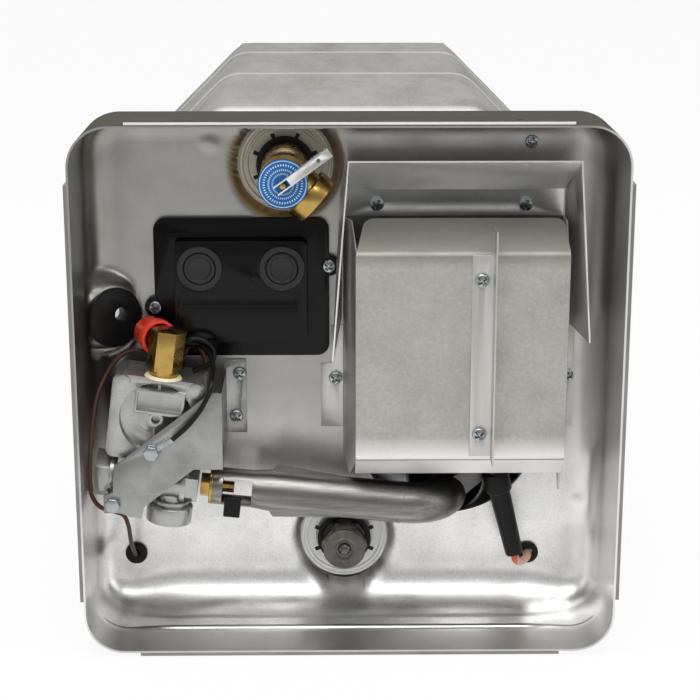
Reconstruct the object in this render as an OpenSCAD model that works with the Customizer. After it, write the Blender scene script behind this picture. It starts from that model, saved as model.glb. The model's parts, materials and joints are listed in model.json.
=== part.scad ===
// Flush-mounted caravan water heater, door removed.
// Front faces -Y, up is +Z, origin at the bottom centre of the whole part. Millimetres.

/* [Housing] */
// Width over the side flanges
overall_width = 322; // [322:1:340]
// Height over the top and bottom flanges
overall_height = 322; // [322:1:340]
// Depth from the flange edges to the rear ports
overall_depth = 487; // [460:1:560]
// Depth of the front pan, rim to panel
pan_depth = 76; // [76:1:90]
// Outer corner radius of the pan rim
pan_corner_radius = 24; // [22:1:30]
// Outer bend radius between pan walls and panel
pan_bend_radius = 16; // [8:1:18]
// Sheet thickness of the pan
pan_sheet = 1.2; // [0.8:0.1:1.4]
// Thickness of the folded mounting flanges
flange_thickness = 2; // [1:0.5:2]
// Reach of the folded flanges along the pan walls
flange_reach = 20; // [15:1:24]
// Side chamfer leg of the jacket section
jacket_chamfer = 70; // [60:1:80]
// Height of the stiffening beads on the jacket
bead_height = 1; // [0.5:0.1:1]

/* [Water side] */
// foam thickness beside the tank
insulation_side = 12; // [10:1:16]
// Wall thickness of the tank
tank_wall = 2; // [1.5:0.1:3]
// Bore radius of the rear water ports
port_bore_radius = 8.95; // [8:0.05:10]
// Height between the rear water ports
port_spacing = 150; // [130:1:160]
// Width across flats of the drain plug
plug_hex = 27; // [24:1:30]
// Length of the anode rod
anode_length = 230; // [150:1:300]
// Bore radius of the relief outlet
relief_outlet_bore = 9.2; // [8:0.1:10]

/* [Moving pieces] */
// Length of the relief lever beyond its pin
lever_length = 33; // [26:1:36]
// Radius of the reset buttons
button_radius = 9.3; // [7:0.1:10]
// Height of the red inlet cap
cap_length = 16; // [14:1:17]

/* [Burner and flue] */
// Outer radius of the burner tube
burner_radius = 12.7; // [12:0.1:13]
// Radius of the flue opening in the panel
flue_hole_radius = 57; // [56:0.5:58]
// Outer radius of the flue tube legs
flue_leg_radius = 25; // [23:0.5:26]
// Thickness of the flue sheet metal
flue_sheet = 1; // [0.6:0.1:1.2]

/* [Fasteners] */
// Head radius of the panel screws
screw_head_radius = 4.2; // [3.5:0.1:4.6]
// Shank radius of the panel screws
screw_radius = 2; // [1.5:0.1:2]

/* [Hidden] */
$fn = 64;
// smallest overshoot used for cuts
eps = 0.5;
// free gap between a screw and its hole
screw_gap = 0.1;
hole_radius = screw_radius + screw_gap;
// gap between pieces that move past each other
move_gap = 0.3;
// gap between a hinge pin and its eye
pin_gap = 0.05;

// housing
front_y = -overall_depth / 2;
panel_y = front_y + pan_depth;
back_y = panel_y + pan_sheet;
rear_y = overall_depth / 2;
mid_z = overall_height / 2;
pan_width = overall_width - 2 * flange_thickness;
pan_height = overall_height - 2 * flange_thickness;
corner_x = pan_width / 2 - pan_corner_radius;
corner_z = pan_height / 2 - pan_corner_radius;
flange_half = 126;
flange_hole_radius = 2.5;
flange_hole_at = 95;

// jacket
jacket_side_gap = 7;
jacket_sheet = 1;
jacket_width = pan_width - 2 * jacket_side_gap;
jacket_height = overall_height - 2 * flange_thickness;
tank_radius = min(jacket_width, jacket_height) / 2 - insulation_side;
// chamfer leg of the two lower corners
jacket_chamfer_low = 62.4;
// share of an inset that a chamfer leg loses
chamfer_share = 2 - sqrt(2);
port_reach = 6;
jacket_rear_y = rear_y - port_reach;
bead_width = 4;
bead_first = 180;
bead_pitch = 137;
bead_keep_out = 24;

// tank
tank_front_gap = 14.8;
tank_rear_gap = 15;
tank_front_y = back_y + tank_front_gap;
tank_rear_y = jacket_rear_y - tank_rear_gap;
tank_fillet = 24;
tank_mid_z = jacket_height / 2;
insulation_gap = 1;
insulation_end = 26;
socket_reach = 12;
socket_depth = 16;

// rear ports
port_x = -75;
port_radius = 14;
port_depth = 27;
port_clear = 0.3;
dip_radius = 6;
dip_length = 150;

// relief valve, pan offsets are [x, z] from the pan centre
relief_at = [-37.9, 124.4];
relief_hole = 29;
relief_seal_outer = 31.2;
relief_thread = 10.4;
relief_socket = 15;
relief_body_radius = 14;
relief_body_end = 46;
relief_neck_radius = 11;
relief_bonnet_radius = 12.5;
relief_bonnet_start = 58;
relief_bonnet_end = 64;
relief_disc_radius = 14.3;
relief_disc_end = 66;
outlet_angle = -41;
outlet_height = 32;
outlet_radius = 15.5;
outlet_neck = 12.5;
outlet_collar_start = 16;
outlet_end = 25.5;
outlet_bore_start = 12;
stem_radius = 1.6;
stem_start = 50;
stem_end = 73;
stem_bore_start = 46.5;
lever_pin_height = 71;
lever_pin_radius = 0.8;
lever_angle = 36;
lever_half = 2.8;
lever_sheet = 0.8;
lever_front = 2.6;
lever_back = -2.4;
lever_tail = 5;
lever_eye = 1.2;
lever_eye_inset = 8;
lever_slot_tail = 5.5;
lever_slot_tip = 4.2;
probe_radius = 4;
probe_length = 90;

// drain plug and port seals
drain_at = [-2.8, -115];
drain_hole = 27.8;
drain_socket = 18;
drain_thread = 13.3;
plug_face = 20.4;
plug_hex_height = 18;
plug_chamfer = 1.5;
plug_crimp_radius = 4.5;
plug_crimp_height = 1;
anode_radius = 10.5;
seal_outer = 36;
seal_thickness = 2;
seal_dish = 3;
ring_width = 3.5;
ring_teeth = 8;
tooth_width = 2.4;
tooth_reach = 3;
ring_thickness = 1.2;

// reset cover
cover_left = -118.3;
cover_right = -11.8;
cover_low = 6.7;
cover_high = 92.8;
cover_radius = 7.5;
cover_plate = 4;
box_left = -105;
box_right = -25;
box_low = 19.2;
box_high = 81.3;
box_front = 18;
cover_wall = 2;
ear_radius = 6.5;
ear_left = [-118.1, 37.5];
ear_right = [-12, 63.1];
button_left_at = [-89.7, 64.9];
button_right_at = [-40.2, 64.9];
collar_radius = 13.8;
collar_height = 1.5;
button_front = 20;
button_back = 12.5;
button_lip = 2;
button_lip_height = 3.1;
button_dish = 2.3;
button_dish_depth = 0.8;
pip_at = [-56.7, 58.6];
pip_radius = 2.8;
pip_height = 0.6;
strip_low = [-100.8, 41.3];
strip_size = [68.8, 9.3];
strip_depth = 0.5;
switch_radius = 12;
switch_front = 6;
switch_pin_radius = 2;
switch_pin_front = 9;
switch_hole = 13;

// grommets
boss_angle = 40;
boss_from_wall = 14.4;
boss_x = -pan_width / 2 + pan_sheet + boss_from_wall;
boss_z = 33.4;
boss_front = 12;
boss_radius = 19.5;
boss_hollow = 18.3;
boss_hole = 15.5;
boss_back = 30;
line_lip_radius = 18.3;
line_lip = 4;
line_groove_radius = 15.4;
line_back_radius = 17;
line_back = 3;
line_hole_radius = 4;
line_hole_at = [3.5, 2];
wire_grommet_at = [-135, -124.5];
spark_grommet_at = [114, -125.1];
grommet_radius = 6.9;
grommet_hole = 4.6;
grommet_lip = 2.6;
grommet_back_radius = 5.8;
grommet_bore_wire = 1.6;
grommet_bore_spark = 3;

// gas valve, own axes: u right, v up, w forward
valve_at = [-115.7, -20.8];
valve_stand = 14;
valve_turn = -7.8;
valve_half = 28;
valve_low = -27;
valve_high = 25;
valve_front = 32;
valve_round = 5;
dish_radius = 22;
dish_floor = 25;
hub_radius = 10.5;
hub_front = 29;
eye_radius = 4.6;
eye_hole = 2.6;
eye_front = 34;
eye_hole_depth = 6;
rib_width = 1.6;
rib_front = 31;
frame_low = [-13.5, 4];
frame_size = [29.5, 14.5];
frame_wall = 1.5;
frame_front = 37;
pocket_floor = 30;
corner_boss_at = [22, 20.8];
corner_boss_radius = 4.8;
corner_boss_front = 35;
run_height = -42.5;
run_forward = 18;
run_radius = 11;
run_half = 22;
run_collar_radius = 13;
run_collar = 3;
web_low = [-20, -43];
web_size = [40, 17];
web_back = 8;
web_front = 28;
nut_hex = 21;
nut_end = 29.5;
neck_u = 13.9;
neck_radius = 8;
neck_end = -57;
neck_flange = 11;
neck_flange_height = 3;
plug_left_hex = 26;
plug_left_start = -22;
plug_left_collar = 14;
plug_left_collar_width = 2.3;
plug_left_end = -33;
bottom_cap_radius = 14;
bottom_cap_height = 11;
post_radius = 5;
post_at = [0, -18];
lug_at = [-19.4, -54];
lug_back = 10;
lug_web_front = 26;
lug_web_half = 5;
lug_web_high = 11;
coil_u = 3;
coil_w = 4;
coil_radius = 9;
coil_height = 9;

// inlet elbow and cap
elbow_u = 1.2;
elbow_w = 26;
elbow_hex = 18.5;
elbow_hex_low = 30;
elbow_high = 54;
elbow_foot_radius = 8.5;
sealant_radius = 11.5;
sealant_height = 1.5;
branch_height = 45.5;
branch_turn = 210;
branch_hex = 15;
branch_hex_end = 15;
branch_radius = 7.9;
branch_end = 22;
cap_start = 11;
cap_hex_start = 15.5;
cap_radius = 11;
cap_brim = 6;
cap_cup_radius = 9.4;
cap_wall = 2.5;

// valve bracket
bracket_front = 55;
bracket_sheet = 1.2;
bracket_right = -75.7;
bracket_foot_right = -63.4;
bracket_foot_low = -44;
bracket_foot_high = 3.5;
bracket_wall_low = -49.9;
bracket_wall_high = -2.4;
bracket_outline = [
    [-75.7, -2.4], [-82.3, -2.1], [-87.7, -6.8], [-140.7, -47.9], [-141.9, -64.4], [-147.6, -66.5],
    [-147.6, -77.4], [-138.1, -77.4], [-132.3, -79.6], [-125.3, -81], [-123.4, -73.7], [-93.3, -49.9],
    [-75.7, -49.9]
];
bracket_screw_at = [[-67.4, -5.6], [-69.8, -33.2]];
plate_hex = 8;
plate_hex_height = 4;
plate_screw_depth = 12;
terminal_radius = 4.5;
terminal_sheet = 0.8;
terminal_turn = 33;
terminal_barrel_start = 5;
terminal_barrel_length = 10;
terminal_barrel_radius = 2;

// burner, own axes: s along the tube, v up, w forward
burner_turn = -5.8;
burner_forward = valve_stand + run_forward;
burner_at = [
    valve_at[0] + nut_end * cos(valve_turn) - run_height * sin(valve_turn),
    valve_at[1] + nut_end * sin(valve_turn) + run_height * cos(valve_turn)
];
orifice_gap = 1.6;
orifice_hex = 13;
orifice_hex_end = 7;
orifice_disc = 11.5;
orifice_disc_end = 9;
spud_radius = 3.5;
spud_end = 22;
venturi_radius = 11.5;
venturi_end = 33;
cone_end = 43;
burner_wall = 1;
window_start = 15;
window_half = 8;
bend_radius = 30;
flue_at = [61.5, -40.4];
bend_start = (flue_at[0] - burner_at[0]) / cos(burner_turn) - bend_radius;
burner_tail = 46;
burner_bead_width = 1.6;
burner_bead_height = 0.3;
wing_start = 43;
wing_peak = 47;
wing_end = 94;
wing_reach = 4;
wing_sheet = 1.6;
shutter_start = 17;
shutter_length = 10;
shutter_high = -2;
shutter_low = -14.6;
shutter_front = 14.6;
shutter_back = -4;
shutter_lip = 2.4;

// flue tube
leg_spacing = 62;
leg_low = -76;
leg_length = 290;
leg_start = 3;
leg_wall = 1.5;
baffle_half = flue_leg_radius - leg_wall - move_gap;
baffle_sheet = 1.2;
baffle_length = 220;
baffle_front_gap = 30;

// flue box
visor_left = -5;
visor_right = 130.3;
visor_low = 93.4;
visor_fold = 109.9;
visor_front = 26;
visor_top = 131;
visor_front_left = -0.8;
visor_front_right = 137.9;
side_left_low = [-10.3, 9];
side_right_low = [146, 19.8];
side_rear_low = 30.4;
visor_screw_at = [[17.2, 100.6], [107.4, 100.4]];
face_left = 3.5;
face_right = 127.9;
face_low = -41.7;
face_high = 82.3;
face_front = 60;
lip_top = [99, 36];
lip_bottom = [-58, 40];
wall_left_x = -3.4;
wall_right_x = 131;
wall_left_turn = 7.15;
wall_right_turn = -3.9;
wall_top = 92.8;
wall_bottom = -58;
wall_left_point = -61.5;
wall_right_point = -72;
wall_point_front = 31;
wall_gap = 0.6;
foot_left = [-10.5, -40.5];
foot_ear_left = -17;
foot_ear_high = 0.5;
foot_high = 25;
foot_right = 139.5;
foot_screw_left = [-8, -8.7];
foot_screw_right = [135.6, -7.8];
fin_base_left = 71;
fin_right = 84.3;
fin_base_low = -39.9;
fin_base_high = 82;
fin_low = -42;
fin_high = 98;
fin_front_gap = 1.5;
fin_screw_at = [[76.5, 67], [76.5, -26.5]];
pan_screw_at = [110.2, 138.3];
dimple_at = [[144.6, -91], [-83.5, 138]];
dimple_hole = 1.5;
screw_head_height = 2.6;
screw_top_share = 0.75;
screw_length = 8;
fin_screw_length = 7;

// ignition electrode
electrode_at = [90.2, -57];
electrode_radius = 4.5;
electrode_front = 24;
electrode_back = 14;
boot_top = [90.2, -64];
boot_front = 19.8;
boot_turn = -76;
boot_length = 56;
boot_radius = 7;
boot_tip_radius = 5.5;
boot_collar_radius = 8.2;
boot_collar = 13;
terminal_neck = 3;
terminal_neck_length = 7;
holder_plane = 10;
holder_sheet = 1.2;
holder_outline = [[61.5, -92], [80, -76], [95, -62], [95, -50], [80, -50], [74, -66], [61.5, -72]];

// leads, [x, z from the pan centre, forward of the panel]
brown_radius = 1.35;
black_radius = 1.5;
spark_radius = 2.5;
brown_long = [
    [-118.4, 10, 18], [-127.5, 13.8, 18], [-137, 12, 19], [-144.8, 4, 22.5], [-149.6, -4.4, 28],
    [-152.5, -13, 34], [-154.5, -28.6, 43], [-155.2, -45, 51], [-155.5, -58, 52], [-154.8, -68, 51],
    [-150.5, -76, 48], [-143, -80, 45], [-137.5, -84, 41], [-135.4, -93, 36], [-135.5, -108, 24],
    [-135.2, -119, 12],
    [-135, -124.5, 4], [-135, -124.5, -4]
];
brown_short = [
    [-100.3, 9.5, 11.7], [-98, 14, 11.3], [-93.5, 15.5, 11], [-90, 11.5, 11.3], [-88.2, 5, 11],
    [-88, -3, 10.5],
    [-89, -10, 10]
];
black_loop = [
    [-104, 14, 20], [-101.3, 19.8, 25], [-96, 23, 27], [-90.5, 23.5, 27], [-85, 21, 27], [-81.6, 15.5, 26],
    [-82, 10, 26], [-87, 6, 26], [-94.5, 3.2, 26]
];
black_ground = [
    [-109.5, 14, 16], [-104, 16.5, 17.5], [-97, 18, 20], [-89.1, 17.6, 23], [-83.5, 14.5, 32],
    [-81, 10, 44],
    [-81.2, 4, 56], [-83.5, -2.5, 59.5], [-88, -11, 60.5], [-95.7, -21.1, 59.5], [-105, -30.1, 57.4]
];
spark_path = [
    [103.9, -118.9, 19.8], [104.7, -122.1, 19.8], [107, -124.8, 17.5], [111, -125.8, 11.5],
    [113.6, -125.4, 5.5],
    [114, -125.1, 0], [114, -125.1, -5]
];
lead_sides = 8;
lead_steps = 2;
lead_reference = [0.31, 0.42, 0.85];

// place children at [x, z] from the pan centre, f forward of the panel, local z pointing forward
module on_panel(p, f = 0) {
    translate([p[0], panel_y - f, mid_z + p[1]]) rotate([90, 0, 0]) children();
}

// valve axes
module on_valve() {
    on_panel(valve_at, valve_stand) rotate([0, 0, valve_turn]) children();
}

// burner axes
module on_burner() {
    on_panel(burner_at, burner_forward) rotate([0, 0, burner_turn]) children();
}

// turn the local z axis to local x
module along_x() {
    rotate([0, 90, 0]) children();
}

// turn the local z axis to local y
module along_y() {
    rotate([-90, 0, 0]) children();
}

// regular hexagon, width across flats f
module hexagon(f) {
    r = f / sqrt(3);
    polygon([for (i = [0:5]) [r * cos(60 * i), r * sin(60 * i)]]);
}

// rectangle with round corners, low corner p and size s
module rounded(p, s, r) {
    translate([p[0] + r, p[1]]) square([s[0] - 2 * r, s[1]]);
    translate([p[0], p[1] + r]) square([s[0], s[1] - 2 * r]);
    for (i = [r, s[0] - r], j = [r, s[1] - r])
        translate([p[0] + i, p[1] + j]) circle(r);
}

// thin four-cornered plate, thickness along t
module blade(a, b, c, d, t) {
    turned = cross(b - a, d - a) * t > 0;
    walls = [[0, 2, 1], [0, 3, 2], [4, 5, 6], [4, 6, 7], [0, 1, 5], [0, 5, 4], [1, 2, 6], [1, 6, 5],
        [2, 3, 7], [2, 7, 6], [3, 0, 4], [3, 4, 7]];
    polyhedron(
        points = [a, b, c, d, a + t, b + t, c + t, d + t],
        faces = [for (f = walls) turned ? [f[2], f[1], f[0]] : f]
    );
}

// smooth route through hand-set points
function route_point(p, i, t) =
    let(n = len(p) - 1, a = p[max(i - 1, 0)], b = p[i], c = p[min(i + 1, n)], d = p[min(i + 2, n)])
    0.5 * (2 * b + (c - a) * t + (2 * a - 5 * b + 4 * c - d) * t * t + (3 * b - a - 3 * c + d) * t * t * t);
function route(p) = concat(
    [for (i = [0:len(p) - 2], k = [0:lead_steps - 1]) route_point(p, i, k / lead_steps)],
    [p[len(p) - 1]]
);
function unit(v) = v / norm(v);

// round lead swept along a route
module lead(p, r) {
    q = [for (v = route(p)) [v[0], v[1], v[2]]];
    n = len(q);
    s = lead_sides;
    ring = [for (i = [0:n - 1])
        let(t = unit(q[min(i + 1, n - 1)] - q[max(i - 1, 0)]), u = unit(cross(t, lead_reference)),
            w = cross(t, u))
        for (k = [0:s - 1]) q[i] + r * (cos(360 * k / s) * u + sin(360 * k / s) * w)];
    walls = [for (i = [0:n - 2], k = [0:s - 1])
        let(a = i * s + k, b = i * s + (k + 1) % s)
        each [[a, b + s, b], [a, a + s, b + s]]];
    first = [[for (k = [0:s - 1]) k]];
    last = [[for (k = [0:s - 1]) (n - 1) * s + s - 1 - k]];
    on_panel([0, 0]) polyhedron(points = ring, faces = concat(walls, first, last));
}

// pan head screw standing on the plane z = 0
module screw(length) {
    cylinder(h = screw_head_height, r1 = screw_head_radius, r2 = screw_head_radius * screw_top_share);
    translate([0, 0, -length]) cylinder(h = length, r = screw_radius);
}

// filled wall section of the pan, r from the corner axis
module pan_fill(inset) {
    low = inset - pan_sheet;
    reach = pan_corner_radius - inset;
    bend = pan_bend_radius - inset;
    translate([0, low + bend]) square([reach, pan_depth - low - bend]);
    translate([0, low]) square([reach - bend, bend]);
    intersection() {
        translate([reach - bend, low + bend]) circle(bend);
        translate([0, low]) square([reach, bend]);
    }
}

// solid tray, drawn inward by an inset
module pan_block(inset) {
    low = inset - pan_sheet;
    for (k = [0:3])
        translate([(k == 0 || k == 3 ? 1 : -1) * corner_x, (k < 2 ? 1 : -1) * corner_z, 0])
            rotate([0, 0, 90 * k]) rotate_extrude(angle = 90) pan_fill(inset);
    for (k = [0, 2]) {
        rotate([0, 0, 90 * k]) translate([corner_x, corner_z, 0]) rotate([90, 0, 0])
            linear_extrude(2 * corner_z) pan_fill(inset);
        rotate([0, 0, 90 * k + 90]) translate([corner_z, corner_x, 0]) rotate([90, 0, 0])
            linear_extrude(2 * corner_x) pan_fill(inset);
    }
    translate([-corner_x, -corner_z, low]) cube([2 * corner_x, 2 * corner_z, pan_depth - low]);
}

module pan_shell() {
    difference() {
        pan_block(0);
        pan_block(pan_sheet);
    }
}

// axis of the formed boss for the gas line
module on_boss() {
    translate([boss_x, boss_z, boss_front]) rotate([0, boss_angle, 0]) children();
}

module panel_hole(p, r) {
    translate([p[0], p[1], -pan_sheet - eps]) cylinder(h = pan_sheet + 2 * eps, r = r);
}

module pan() {
    color([0.72, 0.72, 0.71]) on_panel([0, 0]) difference() {
        union() {
            pan_shell();
            intersection() {
                on_boss() translate([0, 0, -boss_back]) cylinder(h = boss_back, r = boss_radius);
                translate([-pan_width / 2, -corner_z, -pan_sheet])
                    cube([pan_width, 2 * corner_z, pan_depth]);
            }
        }
        on_boss() translate([0, 0, -boss_back - eps])
            cylinder(h = boss_back + eps - pan_sheet, r = boss_hollow);
        on_boss() translate([0, 0, -pan_sheet - eps]) cylinder(h = pan_sheet + 2 * eps, r = boss_hole);
        panel_hole(relief_at, relief_hole);
        panel_hole(drain_at, drain_hole);
        panel_hole(flue_at, flue_hole_radius);
        panel_hole(wire_grommet_at, grommet_hole);
        panel_hole(spark_grommet_at, grommet_hole);
        for (p = [button_left_at, button_right_at]) panel_hole(p, switch_hole);
        for (p = [ear_left, ear_right, foot_screw_left, foot_screw_right, pan_screw_at])
            panel_hole(p, hole_radius);
        for (p = bracket_screw_at) panel_hole(p, hole_radius);
        for (p = visor_screw_at) panel_hole(p, hole_radius);
        for (p = dimple_at) panel_hole(p, dimple_hole);
    }
}

// flange lying on the top wall, holes along its length
module flange() {
    color([0.78, 0.78, 0.77]) difference() {
        translate([-flange_half, 0, pan_depth - flange_reach])
            cube([2 * flange_half, flange_thickness, flange_reach]);
        for (x = [-flange_hole_at, flange_hole_at])
            translate([x, -eps, pan_depth - flange_reach / 2])
                along_y() cylinder(h = flange_thickness + 2 * eps, r = flange_hole_radius);
    }
}

module flange_top() {
    on_panel([0, pan_height / 2]) flange();
}

module flange_bottom() {
    on_panel([0, -pan_height / 2]) rotate([0, 0, 180]) flange();
}

module flange_left() {
    on_panel([-pan_width / 2, 0]) rotate([0, 0, 90]) flange();
}

module flange_right() {
    on_panel([pan_width / 2, 0]) rotate([0, 0, -90]) flange();
}

// octagonal jacket section, drawn inward by an inset
module octagon(inset) {
    w = jacket_width / 2 - inset;
    h = jacket_height / 2 - inset;
    c = jacket_chamfer - inset * chamfer_share;
    b = jacket_chamfer_low - inset * chamfer_share;
    polygon([[w, b - h], [w, h - c], [w - c, h], [c - w, h], [-w, h - c], [-w, b - h], [b - w, -h],
        [w - b, -h]]);
}

module jacket_block(inset, start, end) {
    translate([0, end, jacket_height / 2]) rotate([90, 0, 0]) linear_extrude(end - start) octagon(inset);
}

module jacket() {
    color([0.66, 0.66, 0.66]) {
        difference() {
            union() {
                jacket_block(0, back_y, jacket_rear_y);
                intersection() {
                    union() for (i = [0, 1])
                        translate([0, back_y + bead_first + i * bead_pitch, 0])
                            jacket_block(-bead_height, 0, bead_width);
                    translate([-overall_width, front_y, bead_keep_out])
                        cube([2 * overall_width, overall_depth, overall_height]);
                }
            }
            jacket_block(jacket_sheet, back_y - eps, jacket_rear_y + eps);
        }
    }
}

module port_at(z) {
    translate([port_x, rear_y, tank_mid_z + z]) rotate([90, 0, 0]) children();
}

module rear_cover() {
    color([0.62, 0.62, 0.62]) difference() {
        jacket_block(jacket_sheet, jacket_rear_y - jacket_sheet, jacket_rear_y);
        for (z = [-port_spacing / 2, port_spacing / 2])
            port_at(z) cylinder(h = port_depth, r = port_radius + port_clear);
    }
}

module insulation() {
    color([0.93, 0.9, 0.78]) difference() {
        jacket_block(jacket_sheet + insulation_gap, tank_front_y + insulation_end,
            tank_rear_y - insulation_end);
        translate([0, tank_front_y, tank_mid_z])
            along_y() cylinder(h = tank_rear_y - tank_front_y, r = tank_radius + insulation_gap);
    }
}

// half section of the tank, drawn inward by an inset
module tank_half(inset) {
    r = tank_radius - inset;
    f = tank_fillet - inset;
    low = inset;
    high = tank_rear_y - tank_front_y - inset;
    translate([0, low + f]) square([r, high - low - 2 * f]);
    translate([0, low]) square([r - f, high - low]);
    for (y = [low + f, high - f]) translate([r - f, y]) circle(f);
}

module leg_at(z) {
    on_panel([flue_at[0], z], 0) children();
}

module tank() {
    depth = tank_front_y - panel_y;
    color([0.5, 0.52, 0.54]) difference() {
        union() {
            difference() {
                translate([0, tank_front_y, tank_mid_z]) along_y() rotate_extrude() difference() {
                    tank_half(0);
                    tank_half(tank_wall);
                }
                for (z = [-port_spacing / 2, port_spacing / 2])
                    port_at(z) cylinder(h = port_depth, r = port_radius);
            }
            on_panel(relief_at, -depth - socket_depth)
                cylinder(h = socket_depth + socket_reach, r = relief_socket);
            on_panel(drain_at, -depth - socket_depth)
                cylinder(h = socket_depth + socket_reach, r = drain_socket);
        }
        on_panel(relief_at, -depth - socket_depth - eps)
            cylinder(h = socket_depth + socket_reach + 2 * eps, r = relief_thread);
        on_panel(drain_at, -depth - socket_depth - eps)
            cylinder(h = socket_depth + socket_reach + 2 * eps, r = drain_thread);
        for (z = [leg_low, leg_low + leg_spacing])
            leg_at(z) translate([0, 0, -depth - tank_wall - eps])
                cylinder(h = tank_wall + 2 * eps, r = flue_leg_radius);
    }
}

module flue_solid(r) {
    for (z = [leg_low, leg_low + leg_spacing])
        leg_at(z) translate([0, 0, -leg_length]) cylinder(h = leg_length - leg_start - pan_sheet, r = r);
    translate([flue_at[0], panel_y + leg_length, mid_z + leg_low + leg_spacing / 2]) rotate([0, -90, 0])
        rotate_extrude(angle = 180) translate([leg_spacing / 2, 0]) circle(r);
}

module flue_tube() {
    color([0.4, 0.36, 0.33]) difference() {
        flue_solid(flue_leg_radius);
        flue_solid(flue_leg_radius - leg_wall);
        for (z = [leg_low, leg_low + leg_spacing])
            leg_at(z) translate([0, 0, -leg_start - pan_sheet - eps])
                cylinder(h = 2 * eps, r = flue_leg_radius - leg_wall);
    }
}

module flue_baffle() {
    color([0.55, 0.5, 0.45]) leg_at(leg_low + leg_spacing)
        translate([-baffle_half, -baffle_sheet / 2, -baffle_front_gap - baffle_length])
            cube([2 * baffle_half, baffle_sheet, baffle_length]);
}

// female pipe port through the tank end
module port_fitting() {
    difference() {
        cylinder(h = port_depth, r = port_radius);
        translate([0, 0, -eps]) cylinder(h = port_depth + 2 * eps, r = port_bore_radius);
    }
}

module cold_inlet() {
    color([0.6, 0.6, 0.62]) port_at(-port_spacing / 2) port_fitting();
}

module hot_outlet() {
    color([0.6, 0.6, 0.62]) port_at(port_spacing / 2) port_fitting();
}

module dip_tube() {
    color([0.85, 0.85, 0.82]) port_at(-port_spacing / 2) translate([0, 0, port_depth]) difference() {
        union() {
            cylinder(h = dip_length, r = dip_radius);
            cylinder(h = pan_sheet, r = port_radius);
        }
        translate([0, 0, -eps]) cylinder(h = dip_length + 2 * eps, r = dip_radius - pan_sheet);
    }
}

module drain_plug() {
    shank = plug_face - plug_hex_height;
    depth = tank_front_y - panel_y;
    color([0.3, 0.29, 0.28]) on_panel(drain_at) {
        intersection() {
            translate([0, 0, shank]) linear_extrude(plug_hex_height) rotate(30) hexagon(plug_hex);
            union() {
                translate([0, 0, shank]) cylinder(h = plug_hex_height - plug_chamfer, r = plug_hex);
                translate([0, 0, plug_face - plug_chamfer])
                    cylinder(h = plug_chamfer, r1 = plug_hex / sqrt(3),
                        r2 = plug_hex / 2 - plug_chamfer / 2);
            }
        }
        translate([0, 0, plug_face]) cylinder(h = plug_crimp_height, r = plug_crimp_radius);
        translate([0, 0, -depth - socket_depth])
            cylinder(h = depth + socket_depth + shank, r = drain_thread);
    }
}

module anode_rod() {
    color([0.75, 0.75, 0.73]) on_panel(drain_at, panel_y - tank_front_y - socket_depth)
        translate([0, 0, -anode_length]) cylinder(h = anode_length, r = anode_radius);
}

// dished ring behind a panel hole
module port_seal(inner, outer, hole) {
    translate([0, 0, -pan_sheet]) rotate_extrude() polygon([
        [inner, -seal_dish - seal_thickness], [outer, -seal_thickness], [outer, 0],
        [hole, 0], [inner, -seal_dish]
    ]);
}

// flat ring with radial teeth
module toothed_ring(inner) {
    linear_extrude(ring_thickness) difference() {
        union() {
            circle(inner + ring_width);
            for (i = [0:ring_teeth - 1]) rotate(360 * (i + 0.5) / ring_teeth)
                translate([inner, -tooth_width / 2]) square([ring_width + tooth_reach, tooth_width]);
        }
        circle(inner);
    }
}

module drain_seal() {
    color([0.9, 0.89, 0.85]) on_panel(drain_at) port_seal(drain_socket, seal_outer, drain_hole);
}

module drain_ring() {
    color([0.08, 0.08, 0.08]) on_panel(drain_at) toothed_ring(drain_thread + screw_gap);
}

module relief_seal() {
    color([0.88, 0.84, 0.74]) on_panel(relief_at) port_seal(relief_socket, relief_seal_outer, relief_hole);
}

module relief_ring() {
    color([0.08, 0.08, 0.08]) on_panel(relief_at) toothed_ring(relief_body_radius + screw_gap);
}

module relief_body() {
    depth = tank_front_y - panel_y;
    seat = socket_reach - depth;
    color([0.72, 0.56, 0.26]) on_panel(relief_at) difference() {
        union() {
            translate([0, 0, -depth - socket_depth])
                cylinder(h = socket_depth + socket_reach, r = relief_thread);
            translate([0, 0, seat]) cylinder(h = relief_body_end - seat, r = relief_body_radius);
            translate([0, 0, relief_body_end])
                cylinder(h = relief_bonnet_start - relief_body_end, r = relief_neck_radius);
            translate([0, 0, relief_bonnet_start])
                cylinder(h = relief_bonnet_end - relief_bonnet_start, r = relief_bonnet_radius);
            translate([0, 0, outlet_height]) rotate([0, 0, outlet_angle]) along_x() {
                cylinder(h = outlet_end, r = outlet_neck);
                translate([0, 0, outlet_collar_start])
                    cylinder(h = outlet_end - outlet_collar_start, r = outlet_radius);
            }
        }
        translate([0, 0, outlet_height]) rotate([0, 0, outlet_angle]) along_x()
            translate([0, 0, outlet_bore_start]) cylinder(h = outlet_end, r = relief_outlet_bore);
        translate([0, 0, stem_bore_start]) cylinder(h = relief_bonnet_end, r = stem_radius + move_gap);
    }
}

module relief_disc() {
    color([0.16, 0.45, 0.7]) on_panel(relief_at, relief_bonnet_end) difference() {
        cylinder(h = relief_disc_end - relief_bonnet_end, r = relief_disc_radius);
        translate([0, 0, -eps]) cylinder(h = relief_disc_end, r = stem_radius + move_gap);
    }
}

module on_lever() {
    on_panel(relief_at, lever_pin_height) rotate([0, 0, lever_angle]) children();
}

module relief_stem() {
    color([0.76, 0.6, 0.3]) difference() {
        on_panel(relief_at, stem_start) cylinder(h = stem_end - stem_start, r = stem_radius);
        on_lever() translate([0, -lever_half, 0]) along_y()
            cylinder(h = 2 * lever_half, r = lever_pin_radius);
    }
}

module relief_pin() {
    color([0.6, 0.6, 0.6]) on_lever() translate([0, -lever_half, 0])
        along_y() cylinder(h = 2 * lever_half, r = lever_pin_radius);
}

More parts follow.
